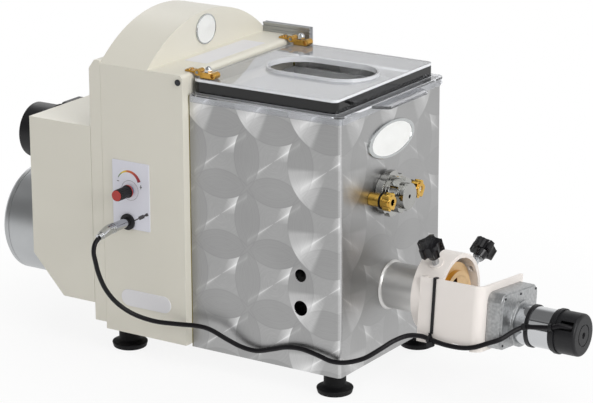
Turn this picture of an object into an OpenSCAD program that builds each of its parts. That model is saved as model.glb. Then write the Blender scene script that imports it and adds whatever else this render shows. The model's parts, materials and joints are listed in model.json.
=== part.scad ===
// Electric pasta maker: a kneading tank with an auger under it, a gear column behind it,
// and a motor-driven cutter clamped on the extrusion tube. Millimetres, +Z up.
// The front of the machine faces +X. The origin lies on the floor, midway between the four feet.

/* [Tank] */
// Length of the tank casing, front to rear
tank_l = 220; // [205:5:260]
// Width of the tank casing
tank_w = 240; // [232:2:270]
// Height of the tank casing
tank_h = 327; // [325:1:345]
// Sheet thickness of casings, covers and trough
sheet_t = 2; // [1.5:0.5:2.5]
// Radius of the casing's upright front corners
casing_corner_r = 6; // [4:1:12]
// Height of the machine's bottom above the floor
foot_h = 27; // [24:1:40]
// Inner radius of the round trough
trough_r = 96; // [92:1:98]
// Drop of the trough's flange below the casing's top
trough_drop = 11; // [7:1:15]
// Radius of the upper vent hole in the casing's side
vent_upper_r = 8; // [5:0.5:12]
// Radius of the lower vent hole in the casing's side
vent_lower_r = 9.5; // [5:0.5:12]
// Distance of the vent holes behind the tank's front
vent_x = 57; // [40:1:80]
// Height of the upper vent hole
vent_upper_z = 123; // [112:1:150]
// Height of the lower vent hole
vent_lower_z = 81; // [70:1:90]

/* [Gear column] */
// Depth of the gear column, front to rear
column_d = 125; // [118:1:160]
// How far the column stands out beyond the tank on each side
column_step = 13; // [10:1:25]
// Rise of the ledge above the tank's top
ledge_rise = 27; // [24:1:40]
// Height of the column's lower edge
column_z0 = 4.5; // [4:0.5:12]
// Depth of the hump behind the ledge
hump_d = 72; // [60:1:80]
// Rise of the hump's arched top above the ledge
hump_rise = 52; // [35:1:70]
// Radius of the ledge's front edge
ledge_edge_r = 5; // [3:1:8]
// Depth of the pan-shaped rear cover
pan_d = 18; // [14:1:30]
// Rise of the rear cover's upper edge above the ledge
pan_rise = 3.5; // [1:0.5:6]
// Depth of the motor box
box_d = 98; // [90:1:130]
// Height of the motor box's top
box_h = 270; // [265:1:300]
// Height of the motor box's bottom
box_z0 = 36; // [30:1:38]
// Height of the slope at the box's lower rear edge
box_slope_h = 51; // [40:1:60]
// Depth of the slope at the box's lower rear edge
box_slope_d = 47.5; // [40:0.5:50]

/* [Drive] */
// Gear module
gear_module = 2; // [2:0.01:2.04]
// Teeth of the main motor's pinion
motor_teeth = 18; // [18:1:18]
// Teeth of the layshaft's large gear
lay_gear_teeth = 54; // [54:1:54]
// Teeth of the layshaft's pinion
lay_pinion_teeth = 22; // [22:1:22]
// Teeth of the auger's gear
auger_teeth = 50; // [50:1:50]
// Teeth of the kneading shaft's gear
knead_teeth = 75; // [75:1:75]
// Thinning of each gear's teeth for backlash
tooth_play = 0.2; // [0.15:0.05:0.4]
// Face width of the auger and kneading gears
gear_w = 15; // [12:1:18]
// Face width of the layshaft's large gear
lay_gear_w = 12; // [10:1:13]
// Sideways offset of the kneading shaft
knead_y = -16; // [-18:1:-12]
// Height of the auger's axis
auger_z = 88; // [87:1:90]
// Radius of the kneading and auger shafts
shaft_r = 12; // [10:0.5:13]
// Radius of the layshaft
layshaft_r = 9; // [8:0.5:10]
// Radius of the main motor's shaft
motor_shaft_r = 9; // [7:0.5:9.5]
// Radius of the main motor's frame
motor_r = 72; // [64:1:76]
// Length of the main motor that stands out behind its box
motor_out = 109; // [95:1:130]
// Thickness of the plate that carries the bearings
gear_plate_t = 12; // [10:1:14]

/* [Extrusion] */
// Inner radius of the extrusion tube
tube_r = 26; // [24:0.5:27]
// Wall of the extrusion tube
tube_wall = 3; // [2.5:0.5:3]
// Length of the tube in front of the tank
tube_out = 74; // [72:1:90]
// Pitch of the auger's flight
auger_pitch = 38; // [32:1:48]
// Outer radius of the brass ring nut
ring_nut_r = 37; // [35:0.5:38]
// Length of the brass ring nut
ring_nut_l = 28; // [26:1:30]
// Thickness of the die
die_t = 8; // [6:1:9]
// Number of holes in the die's ring
die_holes = 10; // [6:1:12]

/* [Cutter] */
// Inner radius of the clamp ring
clamp_r = 41; // [40:0.5:43]
// Wall of the clamp ring
clamp_wall = 11; // [8:0.5:12]
// Length of the clamp ring
clamp_l = 46; // [42:1:48]
// Roll of the cutter bracket about the clamp ring's axis, in degrees
bracket_roll = 6; // [0:1:8]
// Thickness of the cutter bracket's walls
bracket_t = 4; // [3.5:0.5:5]
// Distance of the bracket's front wall from the tank
bracket_front = 156; // [150:1:175]
// Half width of the cutter bracket
bracket_half_w = 52; // [51:0.5:54]
// Depth of the cutter's gearbox
gearbox_d = 21; // [18:1:26]
// Radius of the cutter's motor
cutter_motor_r = 25; // [22:0.5:25.5]
// Length of the cutter motor's bright can
cutter_motor_l = 49; // [42:1:52]
// Radius of the cutter motor's cap
cutter_cap_r = 26.5; // [25:0.5:26.5]
// Length of the cutter motor's cap
cutter_cap_l = 36; // [33:1:44]
// Radius of the knife's shaft
knife_shaft_r = 5; // [4:0.5:6]
// Reach of the knife's blades
knife_r = 24; // [20:0.5:28]
// Diameter of the star knobs
star_knob_d = 32; // [28:1:36]
// Radius of the star knobs' screws
star_screw_r = 4; // [3:0.5:4.5]

/* [Lid] */
// Wall of the clear lid
lid_t = 3; // [2.5:0.5:4]
// Height of the lid's raised box above the casing
lid_rise = 21; // [18:1:22]
// Depth of the skirt round the casing's rim
skirt_h = 7; // [5:0.5:9]
// Length of the feed opening
feed_l = 146; // [110:2:150]
// Width of the feed opening
feed_w = 80; // [60:2:84]
// Height of the lip round the feed opening
feed_lip_h = 3.5; // [2:0.5:4]
// Width of the hinges
hinge_w = 12; // [12:1:20]
// Radius of the hinges' barrels
hinge_barrel_r = 4; // [3.5:0.25:4]
// Radius of the hinge pins
hinge_pin_r = 2; // [1.5:0.25:2.5]
// Distance of each hinge's middle from the tank's side
hinge_inset = 15; // [14:1:30]

/* [Controls] */
// Height of the control plate
panel_h = 88; // [84:1:100]
// Width of the control plate
panel_w = 57; // [50:1:60]
// Radius of the speed knob
speed_knob_r = 7.4; // [6:0.1:10]
// Length of the speed knob
speed_knob_l = 29; // [20:1:32]
// Outer radius of the selector's shroud
shroud_r = 36; // [32:1:38]
// Length of the selector's shroud
shroud_l = 39; // [32:1:44]
// Width of the button hood
hood_w = 47; // [40:1:48]
// Height of the button hood
hood_h = 56; // [54:1:62]
// Length of the button hood
hood_l = 29; // [24:1:34]
// Radius of the push buttons
button_r = 9; // [7:0.5:10]
// Travel of the push buttons
button_travel = 4; // [3:0.5:5]
// Radius of the lobed nut's flange on the tank's front
hub_r = 29; // [26:0.5:30]
// Distance between the brass nuts and the hub's axis
brass_nut_pitch = 34; // [33:0.5:40]
// Radius of the brass nuts
brass_nut_r = 11.5; // [10:0.5:12]

/* [Hidden] */

$fn = 64;
seat_gap = 0.3;            // gap between a part and the face that it rests on
run_gap = 0.05;            // radial play of a shaft in its bore
over = 1;                  // overshoot of a cut past the face that it opens

// Driving planes. Inside the modules x = 0 is the tank's front, z = 0 its bottom edge.
tank_half = tank_w / 2;
column_half = tank_half + column_step;
column_x0 = -tank_l - column_d;
pan_x0 = column_x0 - pan_d;
box_x0 = pan_x0 - box_d;
hump_x1 = column_x0 + hump_d;
foot_front_x = -20;
foot_rear_x = column_x0 + 12;
foot_y = tank_half - 20;
ledge_h = tank_h + ledge_rise;
pan_h = ledge_h + pan_rise;
trough_h = tank_h - trough_drop;
frame_x = -(foot_front_x + foot_rear_x) / 2;

// Shafts: each centre distance follows from the teeth in mesh
auger_at = [0, auger_z];
lay_at = [gear_module * (lay_pinion_teeth + auger_teeth) / 2, auger_z];
knead_mesh = gear_module * (auger_teeth + knead_teeth) / 2;
knead_at = [knead_y, auger_z + sqrt(knead_mesh * knead_mesh - knead_y * knead_y)];
plane_a = column_x0 + 45;              // rear face of the auger and kneading gears
plane_b = plane_a - 25;                // rear face of the layshaft's large gear
gear_plate_x = plane_a + gear_w + 5;
gear_plate_top = 70;                   // height of the plate's edge above the kneading shaft
bearing_wall = 10;
bearing_l = gear_plate_t + 12;
motor_bore_r = 3 * motor_shaft_r;

tube_outer_r = tube_r + tube_wall;
auger_r = tube_r - 0.6;
shaft_rear_x = plane_a - 3;
end_seal_l = 9;
hub_l = 35;
knead_journal_r = shaft_r - 2;
knead_front_x = 24;
stud_r = 4;
stud_x = 29;
sleeve_r = 8.5;
hub_lobe_r = brass_nut_pitch - brass_nut_r - 0.4;

// Tank trough: round bottom, upright left wall, slanted right wall
trough_left = knead_y - trough_r;
trough_right = 112;
trough_knee_z = trough_h - 54;
trough_x0 = -tank_l + 2;
trough_x1 = -sheet_t - 2;
neck_half = 16;
slot_x0 = -tank_l + 20;
slot_x1 = -15;

// Cutter
die_x = tube_out + seat_gap;
ring_nut_x = die_x + die_t + 4 - ring_nut_l;
nut_lip_t = 4 - seat_gap;
clamp_x0 = ring_nut_x;
clamp_x1 = clamp_x0 + clamp_l;
clamp_at = [0, auger_z + clamp_r - ring_nut_r - seat_gap];
gearbox_x1 = bracket_front + gearbox_d;
cutter_motor_at = [12, auger_z - 21.3];
cutter_cap_x = gearbox_x1 + cutter_motor_l;
cutter_end_x = cutter_cap_x + cutter_cap_l;
clamp_r_outer = clamp_r + clamp_wall;
star_reach = 80;

// Lid
rim_z = tank_h + seat_gap;
lid_top = rim_z + lid_rise - seat_gap;
skirt_gap = 0.6;
lid_half = tank_half - 5;
lid_x0 = -tank_l + 3;
lid_x1 = -9;
feed_x = -103;
feed_y = 3;
hinge_x = -tank_l + 7;
hinge_z = ledge_h + 1;
leaf_t = 2.5;
leaf_x0 = -tank_l - 11;
leaf_screw_x = leaf_x0 + 4;
leaf_screw_y = 3;
block_x1 = hinge_x + 22.6;
nose_r = 4.3;
lid_bolt_x = hinge_x + 13;
hinge_y = tank_half - hinge_inset;
lid_rear_x = hinge_x - 2;
lid_bolt_r = 3;

// Controls
panel_t = 1.2;
panel_x = column_x0 + 44.5;
panel_z = 189.5;
speed_at = [panel_x - 1.5, panel_z + 6.5];
socket_at = [panel_x - 5.1, panel_z - 34.9];
shroud_at = [-71, 233];
hood_at = [-8.5, 233];
socket_r = 10.5;
plug_r = 6;
plug_tilt = 13;

// Route of the cutter's cord, from the plug to the cap's slot.
// A strap holds it at one of its points, and two ties hold it at two more.
cord_r = 3;
strap_spot = [91, -62, 52];
tie_spots = [[196, -17, 74], [232, -17, 80]];
cord_route = [
    [-305, -198, 149], [-305, -205, 144], [-305, -208, 134], [-304, -206, 121],
    [-303, -201, 103], [-300, -192, 82], [-292, -180, 62], [-277, -166, 46],
    [-254, -153, 37], [-225, -144, 36], [-198, -139, 37], [-180, -137, 35],
    [-160, -133, 26], [-140, -129, 18], [-118, -127, 16], [-96, -126, 22],
    [-74, -126, 29], [-52, -126, 31], [-28, -127, 28], [-8, -127, 24],
    [11, -123, 25], [30, -113, 31], [44, -98, 41], [54, -83, 49],
    [66, -70, 54], [80, -63, 54], strap_spot, [112, -62, 49],
    [135, -61, 49], [152, -59.5, 52.5], [166, -53, 58], [179, -44, 63],
    [188, -28, 70], tie_spots[0], [208, -17, 76], [220, -17, 78],
    tie_spots[1], [242, -14, 83], [250, -10, 82], [256, -6, 80]];

// ---------- helpers ----------

module placed() translate([frame_x, 0, foot_h]) children();
module at(p) translate([0, p[0], p[1]]) children();

// Cylinder and ring along +X
module x_cyl(x0, x1, r) translate([x0, 0, 0]) rotate([0, 90, 0]) cylinder(h = x1 - x0, r = r);
module x_ring(x0, x1, r_out, r_in) difference() {
    x_cyl(x0, x1, r_out);
    x_cyl(x0 - over, x1 + over, r_in);
}

// A flat shape in Y and Z, drawn out along X; and one in X and Z, drawn out along Y
module along_x(x0, x1) translate([x0, 0, 0]) rotate([90, 0, 90]) linear_extrude(x1 - x0) children();
module along_y(y0, y1) translate([0, y1, 0]) rotate([90, 0, 0]) linear_extrude(y1 - y0) children();

module block(x0, x1, y0, y1, z0, z1) translate([x0, y0, z0]) cube([x1 - x0, y1 - y0, z1 - z0]);

// Rectangle between two corners with rounded corners
module round_rect(x0, x1, y0, y1, r) {
    translate([x0 + r, y0]) square([x1 - x0 - 2 * r, y1 - y0]);
    translate([x0, y0 + r]) square([x1 - x0, y1 - y0 - 2 * r]);
    for (x = [x0 + r, x1 - r], y = [y0 + r, y1 - r]) translate([x, y]) circle(r);
}

module stadium(l, w) {
    square([l - w, w], center = true);
    for (s = [-1, 1]) translate([s * (l - w) / 2, 0]) circle(w / 2);
}

// ---------- gears ----------

pressure_angle = 20;
function involute_angle(r, rb) = let (t = sqrt(max(0, r * r / (rb * rb) - 1))) t * 180 / PI - atan(t);
function gear_outline(n) =
    let (rp = gear_module * n / 2, rb = rp * cos(pressure_angle), ra = rp + gear_module,
         rf = rp - 1.25 * gear_module, r0 = max(rb, rf),
         half = 90 / n - tooth_play / 2 / rp * 180 / PI + involute_angle(rp, rb),
         radii = [r0, (r0 + rp) / 2, rp, (rp + ra) / 2, ra],
         up = [for (r = radii) [r, half - involute_angle(r, rb)]],
         side = concat([[rf, up[0][1]]], up))
    [for (i = [0 : n - 1])
        let (a = 360 / n * i)
        each concat([for (p = side) p[0] * [cos(a - p[1]), sin(a - p[1])]],
                    [for (j = [len(side) - 1 : -1 : 0]) side[j][0] * [cos(a + side[j][1]),
                        sin(a + side[j][1])]])];

// Turn of a gear of n2 teeth that meshes with one of n1 teeth turned by a1, seen at angle phi from it
function mesh_turn(a1, n1, n2, phi) = phi + 180 - (a1 - phi) * n1 / n2 + 180 / n2;
lay_gear_turn = mesh_turn(0, motor_teeth, lay_gear_teeth, 0);
auger_turn = mesh_turn(0, lay_pinion_teeth, auger_teeth, 180);
knead_turn = mesh_turn(auger_turn, auger_teeth, knead_teeth,
                       atan2(knead_at[1] - auger_at[1], knead_at[0] - auger_at[0]));

// Spur gear with a bore, and round windows in its web where the web is wide enough
module gear(x0, w, n, turn, bore, windows = 0, window_r = 0) {
    rp = gear_module * n / 2;
    window_at = (rp + bore) / 2 + 2;
    difference() {
        along_x(x0, x0 + w) rotate(turn) polygon(gear_outline(n));
        x_cyl(x0 - over, x0 + w + over, bore);
        if (windows > 0)
            for (i = [1 : windows])
                rotate([360 / windows * i, 0, 0]) translate([0, window_at, 0])
                    x_cyl(x0 - over, x0 + w + over, window_r);
    }
}

// ---------- tank ----------

module casing_outline(inset) {
    r = casing_corner_r - inset;
    difference() {
        round_rect(-tank_l - 20, -inset, -tank_half + inset, tank_half - inset, r);
        translate([-tank_l - 40, -tank_w]) square([40 + gasket_room, 2 * tank_w]);
    }
}
gasket_room = 1.4;

module tank_casing() color("gainsboro") placed() difference() {
    linear_extrude(tank_h) casing_outline(0);
    translate([0, 0, -over]) linear_extrude(tank_h + 2 * over) difference() {
        casing_outline(sheet_t);
        translate([-tank_l - 40, -tank_w]) square([20, 2 * tank_w]);
    }
    block(-tank_l - over, -tank_l + gasket_room + over, -tank_half + sheet_t, tank_half - sheet_t, -over,
        tank_h + over);
    at(auger_at) x_cyl(-2 * sheet_t, over, tube_outer_r + run_gap);
    at(knead_at) x_cyl(-2 * sheet_t, over, knead_journal_r + 2 * sheet_t);
    for (s = [-1, 1]) at(knead_at + [s * brass_nut_pitch, 0]) x_cyl(-2 * sheet_t, over, stud_r + run_gap);
    for (v = [[vent_upper_z, vent_upper_r], [vent_lower_z, vent_lower_r]])
        translate([-vent_x, -tank_half + 2 * sheet_t, v[0]]) rotate([90, 0, 0])
            cylinder(h = 4 * sheet_t, r = v[1]);
}

module casing_gasket() color("olive") placed() linear_extrude(tank_h) difference() {
    translate([-tank_l + 0.2, -tank_half]) square([1, tank_w]);
    translate([-tank_l - over, -tank_half + 4]) square([over + 3, tank_w - 8]);
}

module base_plate() color("silver") placed() difference() {
    linear_extrude(sheet_t)
        round_rect(-tank_l + gasket_room, -sheet_t - seat_gap, -tank_half + sheet_t + seat_gap,
                   tank_half - sheet_t - seat_gap, casing_corner_r - sheet_t);
    for (s = [-1, 1]) translate([foot_front_x, s * foot_y, -over])
        cylinder(h = sheet_t + 2 * over, r = foot_stud_r + run_gap);
}

// Outline of the trough in Y and Z, grown outwards by t
module trough_outline(t) {
    knee = [trough_right - knead_y, trough_knee_z - knead_at[1]];
    a = atan2(knee[1], knee[0]) - acos(trough_r / norm(knee));
    r = trough_r + t;
    tangent = knead_at + r * [cos(a), sin(a)];
    translate(knead_at) circle(r, $fn = 128);
    polygon([[trough_left - t, knead_at[1]], knead_at, tangent,
             [trough_right + t, trough_knee_z + t * tan(a / 2)],
             [trough_right + t, trough_h], [trough_left - t, trough_h]]);
}

module kneading_tank() color("silver") placed() {
    difference() {
        union() {
            difference() {
                along_x(trough_x0, trough_x1) trough_outline(sheet_t);
                along_x(trough_x0 + sheet_t, trough_x1 - sheet_t) trough_outline(0);
                block(trough_x0 + sheet_t, trough_x1 - sheet_t, trough_left, trough_right, trough_h - 20,
                    trough_h + over);
            }
            // neck down to the tube, and the flange that hangs the trough in the casing
            difference() {
                block(slot_x0 - sheet_t, slot_x1 + sheet_t, -neck_half - sheet_t, neck_half + sheet_t,
                      auger_z + 12, auger_z + 40);
                at(knead_at) x_cyl(trough_x0, trough_x1, trough_r + sheet_t / 2);
            }
            difference() {
                linear_extrude_z(trough_h - sheet_t, trough_h)
                    round_rect(trough_x0, -sheet_t - seat_gap, -tank_half + sheet_t + seat_gap,
                               tank_half - sheet_t - seat_gap, casing_corner_r - sheet_t);
                block(trough_x0 + sheet_t, trough_x1 - sheet_t, trough_left, trough_right, 0,
                    trough_h + over);
            }
        }
        block(slot_x0, slot_x1, -neck_half, neck_half, auger_z, auger_z + 60);
        at(auger_at) x_cyl(trough_x0 - over, over, tube_outer_r + run_gap);
        at(knead_at) x_cyl(trough_x0 - over, trough_x0 + 2 * sheet_t, seal_r + run_gap);
        at(knead_at) x_cyl(trough_x1 - 2 * sheet_t, over, knead_journal_r + 2 * sheet_t);
    }
    // welded studs of the hub
    for (s = [-1, 1]) at(knead_at + [s * brass_nut_pitch, 0]) x_cyl(trough_x1 - sheet_t / 2, stud_x, stud_r);
}
seal_r = shaft_r + 8;

module auger_barrel() color("lightgray") placed() at(auger_at) difference() {
    union() {
        x_cyl(-tank_l + seat_gap, tube_out, tube_outer_r);
        // weld bead where the tube leaves the casing
        rotate([0, 90, 0]) rotate_extrude() polygon([[tube_outer_r - 1, 0.1], [tube_outer_r + 3, 0.1],
            [tube_outer_r + 2.2, 1.6], [tube_outer_r + 0.8, 3], [tube_outer_r - 1, 3.2]]);
    }
    x_cyl(-tank_l, tube_out + over, tube_r);
    block(slot_x0, slot_x1, -neck_half, neck_half, 0, tube_outer_r + over);
}

module shaft_hub() color("gainsboro") placed() at(knead_at) difference() {
    union() {
        difference() {
            union() {
                x_cyl(seat_gap, 4, hub_r - 3);
                x_cyl(4, 12, hub_r);
            }
            // lobes: the hollows between them leave room for the sleeves on the studs
            for (i = [0 : 5]) rotate([60 * i, 0, 0]) translate([0, brass_nut_pitch, 0])
                x_cyl(-over, 13, sleeve_r + 0.4);
        }
        x_cyl(12, 16, hub_r - 8);
        difference() {
            x_cyl(16, 28, hub_lobe_r);
            for (i = [0 : 5]) rotate([60 * i + 30, 0, 0]) translate([0, hub_lobe_r + 3.5, 0])
                x_cyl(15, 29, 6.5);
        }
        x_cyl(28, hub_l, hub_r - 12.5);
    }
    x_cyl(-over, knead_front_x + seat_gap, knead_journal_r + run_gap);
    x_cyl(knead_front_x - over, hub_l + over, 2.5);
}

module hub_sleeves() color("goldenrod") placed() for (s = [-1, 1]) at(knead_at + [s * brass_nut_pitch, 0]) {
    x_ring(seat_gap, 15.2, sleeve_r, stud_r + run_gap);
    x_ring(15.5, 17.5, sleeve_r + 1.5, stud_r + run_gap);
}

// Scalloped nut on a stud
module brass_knob(side) color("goldenrod") placed() at(knead_at + [side * brass_nut_pitch, 0]) difference() {
    union() {
        x_cyl(17.8, 20.5, brass_nut_r - 2.5);
        x_cyl(20.5, 30, brass_nut_r);
        x_cyl(30, 31.2, brass_nut_r - 3);
    }
    x_cyl(17, 32, stud_r + run_gap);
    for (i = [0 : 5]) rotate([60 * i + 30, 0, 0]) translate([0, brass_nut_r + 1.6, 0]) x_cyl(20.5, 32, 4);
}
module brass_knob_left() brass_knob(-1);
module brass_knob_right() brass_knob(1);

// ---------- gear column, covers and feet ----------

foot_stud_r = 5;
module foot(top) {
    translate([0, 0, -foot_h]) rotate_extrude() polygon([[0, 0], [19.5, 0], [21.5, 1], [23, 6.5], [22.6, 7.6],
        [16, 9.6], [14, 11], [14, foot_h + top - 0.2], [foot_stud_r, foot_h + top - 0.2],
        [foot_stud_r, foot_h + top + 9], [0, foot_h + top + 9]]);
    translate([0, 0, top + sheet_t + seat_gap]) difference() {
        cylinder(h = 5, r = 9.2, $fn = 6);
        translate([0, 0, -over]) cylinder(h = 7, r = foot_stud_r + run_gap);
    }
}
module feet() color("dimgray") placed() for (s = [-1, 1]) {
    translate([foot_front_x, s * foot_y, 0]) foot(0);
    translate([foot_rear_x, s * foot_y, 0]) foot(column_z0);
}

// Arched outline of the hump in Y and Z, inset by t
module hump_outline(t) {
    r = (column_half * column_half + hump_rise * hump_rise) / (2 * hump_rise);
    intersection() {
        translate([0, ledge_h + hump_rise - r]) circle(r - t, $fn = 256);
        translate([-column_half + t, ledge_h - 40]) square([2 * (column_half - t), hump_rise + 60]);
    }
}

// Side outline of the column in X and Z, inset by t
module column_outline(t) {
    x1 = -tank_l - t;
    z1 = ledge_h - t;
    r = ledge_edge_r - t;
    difference() {
        translate([column_x0, column_z0 + t]) square([x1 - column_x0, z1 - column_z0 - t]);
        translate([x1 - r, z1 - r]) square(r + over);
    }
    translate([x1 - r, z1 - r]) circle(r);
}

module gear_housing() color("ivory") placed() difference() {
    union() {
        along_y(-column_half, column_half) column_outline(0);
        along_x(column_x0, hump_x1) hump_outline(0);
    }
    along_y(-column_half + sheet_t, column_half - sheet_t) column_outline(sheet_t);
    block(column_x0 - over, column_x0 + 10, -column_half + sheet_t, column_half - sheet_t,
        column_z0 + sheet_t, pan_h - 6);
    along_x(column_x0 + sheet_t, hump_x1 - sheet_t) hump_outline(sheet_t);
    at(auger_at) x_cyl(-tank_l - 2 * sheet_t, -tank_l + over, shaft_r + 2);
    at(knead_at) x_cyl(-tank_l - 2 * sheet_t, -tank_l + over, shaft_r + 2);
    // holes of the rear feet's studs, the cover screws, the speed control and the socket
    for (s = [-1, 1]) {
        translate([foot_rear_x, s * foot_y, 0]) cylinder(h = 20, r = foot_stud_r + run_gap);
        translate([cover_screw_x, s * column_half, cover_screw_z]) rotate([90, 0, 0])
            cylinder(h = 8, r = 2.55, center = true);
    }
    translate([speed_at[0], -column_half, speed_at[1]]) rotate([90, 0, 0])
        cylinder(h = 8, r = 4.6, center = true);
    translate([socket_at[0], -column_half, socket_at[1]]) rotate([90, 0, 0])
        cylinder(h = 8, r = 8.1, center = true);
    // slots for the hinge leaves' screws
    for (s = [-1, 1], t = [-1, 1])
        translate([leaf_screw_x, s * hinge_y + t * leaf_screw_y, ledge_h - 8]) cylinder(h = 12, r = 1.6);
}
cover_screw_x = -tank_l - 6;
cover_screw_z = ledge_h - 9;

module cover_screws() color("silver") placed() for (s = [-1, 1])
    translate([cover_screw_x, s * (column_half + seat_gap), cover_screw_z]) rotate([-90 * s, 0, 0]) {
        cylinder(h = 1.2, r = 4);
        translate([0, 0, 1.2]) cylinder(h = 1.2, r = 3);
        translate([0, 0, -sheet_t - 6]) cylinder(h = sheet_t + 6.5, r = 2.5);
    }

// Pan-shaped cover: its rim meets the column, its floor faces the rear
module pan_outline(t) polygon([[column_x0 + (t > 0 ? over : -seat_gap), 13 + t], [pan_x0 + t, 13 + t],
    [pan_x0 + t, pan_h - 11.5 - t / 2], [pan_x0 + 8.5 + t / 2, pan_h - t],
        [column_x0 + (t > 0 ? over : -seat_gap), pan_h - t]]);
module rear_cover() color("ivory") placed() difference() {
    along_y(-column_half, column_half) pan_outline(0);
    along_y(-column_half + sheet_t, column_half - sheet_t) pan_outline(sheet_t);
    at(auger_at) x_cyl(pan_x0 - over, pan_x0 + sheet_t + over, motor_bore_r);
}

module box_outline(t) {
    x1 = pan_x0 - seat_gap + (t > 0 ? over + t : 0);
    k = t * 0.45;
    polygon([[x1, box_z0 + t], [box_x0 + box_slope_d + k, box_z0 + t], [box_x0 + t, box_z0 + box_slope_h + k],
             [box_x0 + t, box_h - t], [x1, box_h - t]]);
}
module motor_box() color("ivory") placed() difference() {
    along_y(-column_half, column_half) box_outline(0);
    along_y(-column_half + sheet_t, column_half - sheet_t) box_outline(sheet_t);
    at(auger_at) x_cyl(box_x0 - over, motor_x1 + seat_gap, motor_r + 1);
    at(gland_at) x_cyl(box_x0 - over, box_x0 + 2 * sheet_t, gland_r + run_gap);
    at(shroud_at) x_cyl(box_x0 - over, box_x0 + 2 * sheet_t, selector_spindle_r + run_gap);
    for (z = [-1, 1]) at(hood_at + [0, z * button_pitch / 2])
        x_cyl(box_x0 - over, box_x0 + 2 * sheet_t, button_stem_r + run_gap);
}
gland_at = [column_half - 33, 112];
gland_r = 8;
button_pitch = 26;
button_stem_r = 4;
selector_spindle_r = 5;

module cable_gland() color("dimgray") placed() at(gland_at) difference() {
    union() {
        x_cyl(box_x0 - 5, box_x0 - seat_gap, 12);
        x_cyl(box_x0 - 17, box_x0 - 5, 9.5);
        x_cyl(box_x0 - seat_gap, box_x0 + sheet_t + 10, gland_r);
        x_cyl(box_x0 + sheet_t + seat_gap, box_x0 + sheet_t + 5, 11);
    }
    x_cyl(box_x0 - 18, box_x0 + 20, 4.2);
}

// ---------- drive ----------

module gear_plate() color("slategray") placed() difference() {
    block(gear_plate_x, gear_plate_x + gear_plate_t, -column_half + sheet_t + seat_gap,
        column_half - sheet_t - seat_gap,
          column_z0 + sheet_t + seat_gap, knead_at[1] + gear_plate_top);
    for (b = bearing_spots) at(b[0])
        x_cyl(gear_plate_x - over, gear_plate_x + gear_plate_t + over, b[1] + bearing_wall + run_gap);
}
bearing_spots = [[auger_at, shaft_r], [knead_at, shaft_r], [lay_at, layshaft_r]];

module shaft_bearings() color("silver") placed() for (b = bearing_spots) at(b[0]) difference() {
    union() {
        x_cyl(gear_plate_x, gear_plate_x + bearing_l, b[1] + bearing_wall);
        x_cyl(gear_plate_x + gear_plate_t + seat_gap, gear_plate_x + gear_plate_t + 6,
            b[1] + bearing_wall + 6);
    }
    x_cyl(gear_plate_x - over, gear_plate_x + bearing_l + over, b[1] + run_gap);
}

module shaft_seals() color("dimgray") placed() {
    at(auger_at) x_ring(-tank_l + 1, -tank_l + 1 + end_seal_l, tube_r - run_gap, shaft_r + run_gap);
    at(knead_at) x_ring(trough_x0 - 1, trough_x0 + end_seal_l - 3, seal_r, shaft_r + run_gap);
}

motor_neck_r = 48;
motor_x0 = box_x0 - motor_out + 18;        // where the end cover meets the frame
motor_x1 = box_x0 + box_slope_d - 1.5;     // front face of the wide frame
module motor_frame() color("silver") placed() at(auger_at) difference() {
    union() {
        x_cyl(motor_x0, motor_x1, motor_r);
        x_cyl(motor_x1 - over, pan_x0 - seat_gap, motor_neck_r);
    }
    x_cyl(motor_x0 - over, motor_x1 - 10, motor_r - 8);
    x_cyl(motor_x1 - 11, pan_x0 - 10, motor_shaft_r + 12);
    x_cyl(motor_x1 - 11, pan_x0 + over, motor_shaft_r + run_gap);
}

module motor_end_cover() color("lightgray") placed() at(auger_at) {
    x = motor_x0 - seat_gap;
    difference() {
        union() {
            x_cyl(x - 6, x, motor_r);
            translate([x - 6, 0, 0]) rotate([0, -90, 0]) rotate_extrude() polygon([[0, 0], [motor_r - 2, 0],
                [motor_r - 3.5, 4], [motor_r - 9, 8], [motor_r - 14, 9.5], [motor_r - 26, 9.5],
                    [motor_r - 28, 11.7], [0, 11.7]]);
        }
        x_cyl(x - 8, x + over, motor_shaft_r + run_gap);
    }
}

module motor_rotor() color("silver") placed() at(auger_at) {
    x_cyl(motor_x0 - 6, plane_b + lay_gear_w + 1, motor_shaft_r);
    x_cyl(motor_x0 + 14, motor_x1 - 18, motor_r - 18);
}
module motor_pinion() color("silver") placed() at(auger_at)
    gear(plane_b, lay_gear_w, motor_teeth, 0, motor_shaft_r + 0.02);

module layshaft() color("silver") placed() at(lay_at)
    x_cyl(plane_b - 5, gear_plate_x + bearing_l + 3, layshaft_r);
module layshaft_gears() color("lightslategray") placed() at(lay_at) {
    gear(plane_b, lay_gear_w, lay_gear_teeth, lay_gear_turn, layshaft_r + 0.02, 6, 9);
    x_ring(plane_b + lay_gear_w - 0.5, plane_a + 0.5, layshaft_r + 7, layshaft_r + 0.02);
    gear(plane_a, gear_w, lay_pinion_teeth, 0, layshaft_r + 0.02);
}

module kneading_shaft() color("silver") placed() at(knead_at) {
    x_cyl(shaft_rear_x, trough_x1 - 6, shaft_r);
    x_cyl(trough_x1 - 7, knead_front_x, knead_journal_r);
}
module kneading_gear() color("lightslategray") placed() at(knead_at)
    gear(plane_a, gear_w, knead_teeth, knead_turn, shaft_r + 0.02, 6, 14);

// Twisted arms on sleeves along the kneading shaft
paddle_count = 4;
paddle_turn = 90;
paddle_w = 30;
paddle_t = 8;
paddle_reach = trough_r - 7;
module kneading_paddles() color("silver") placed() at(knead_at) difference() {
    union() {
        x_cyl(trough_x0 + 12, trough_x1 - 12, shaft_r + 5);
        for (i = [0 : paddle_count - 1])
            translate([trough_x0 + 32 + i * (trough_x1 - trough_x0 - 64) / (paddle_count - 1), 0, 0])
                rotate([35 + paddle_turn * i, 0, 0]) rotate([0, 0, 25])
                    linear_extrude(height = paddle_reach, twist = 40, slices = 10, segments = 4)
                        square([paddle_w, paddle_t], center = true);
    }
    x_cyl(trough_x0, trough_x1, shaft_r + 0.02);
}

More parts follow.
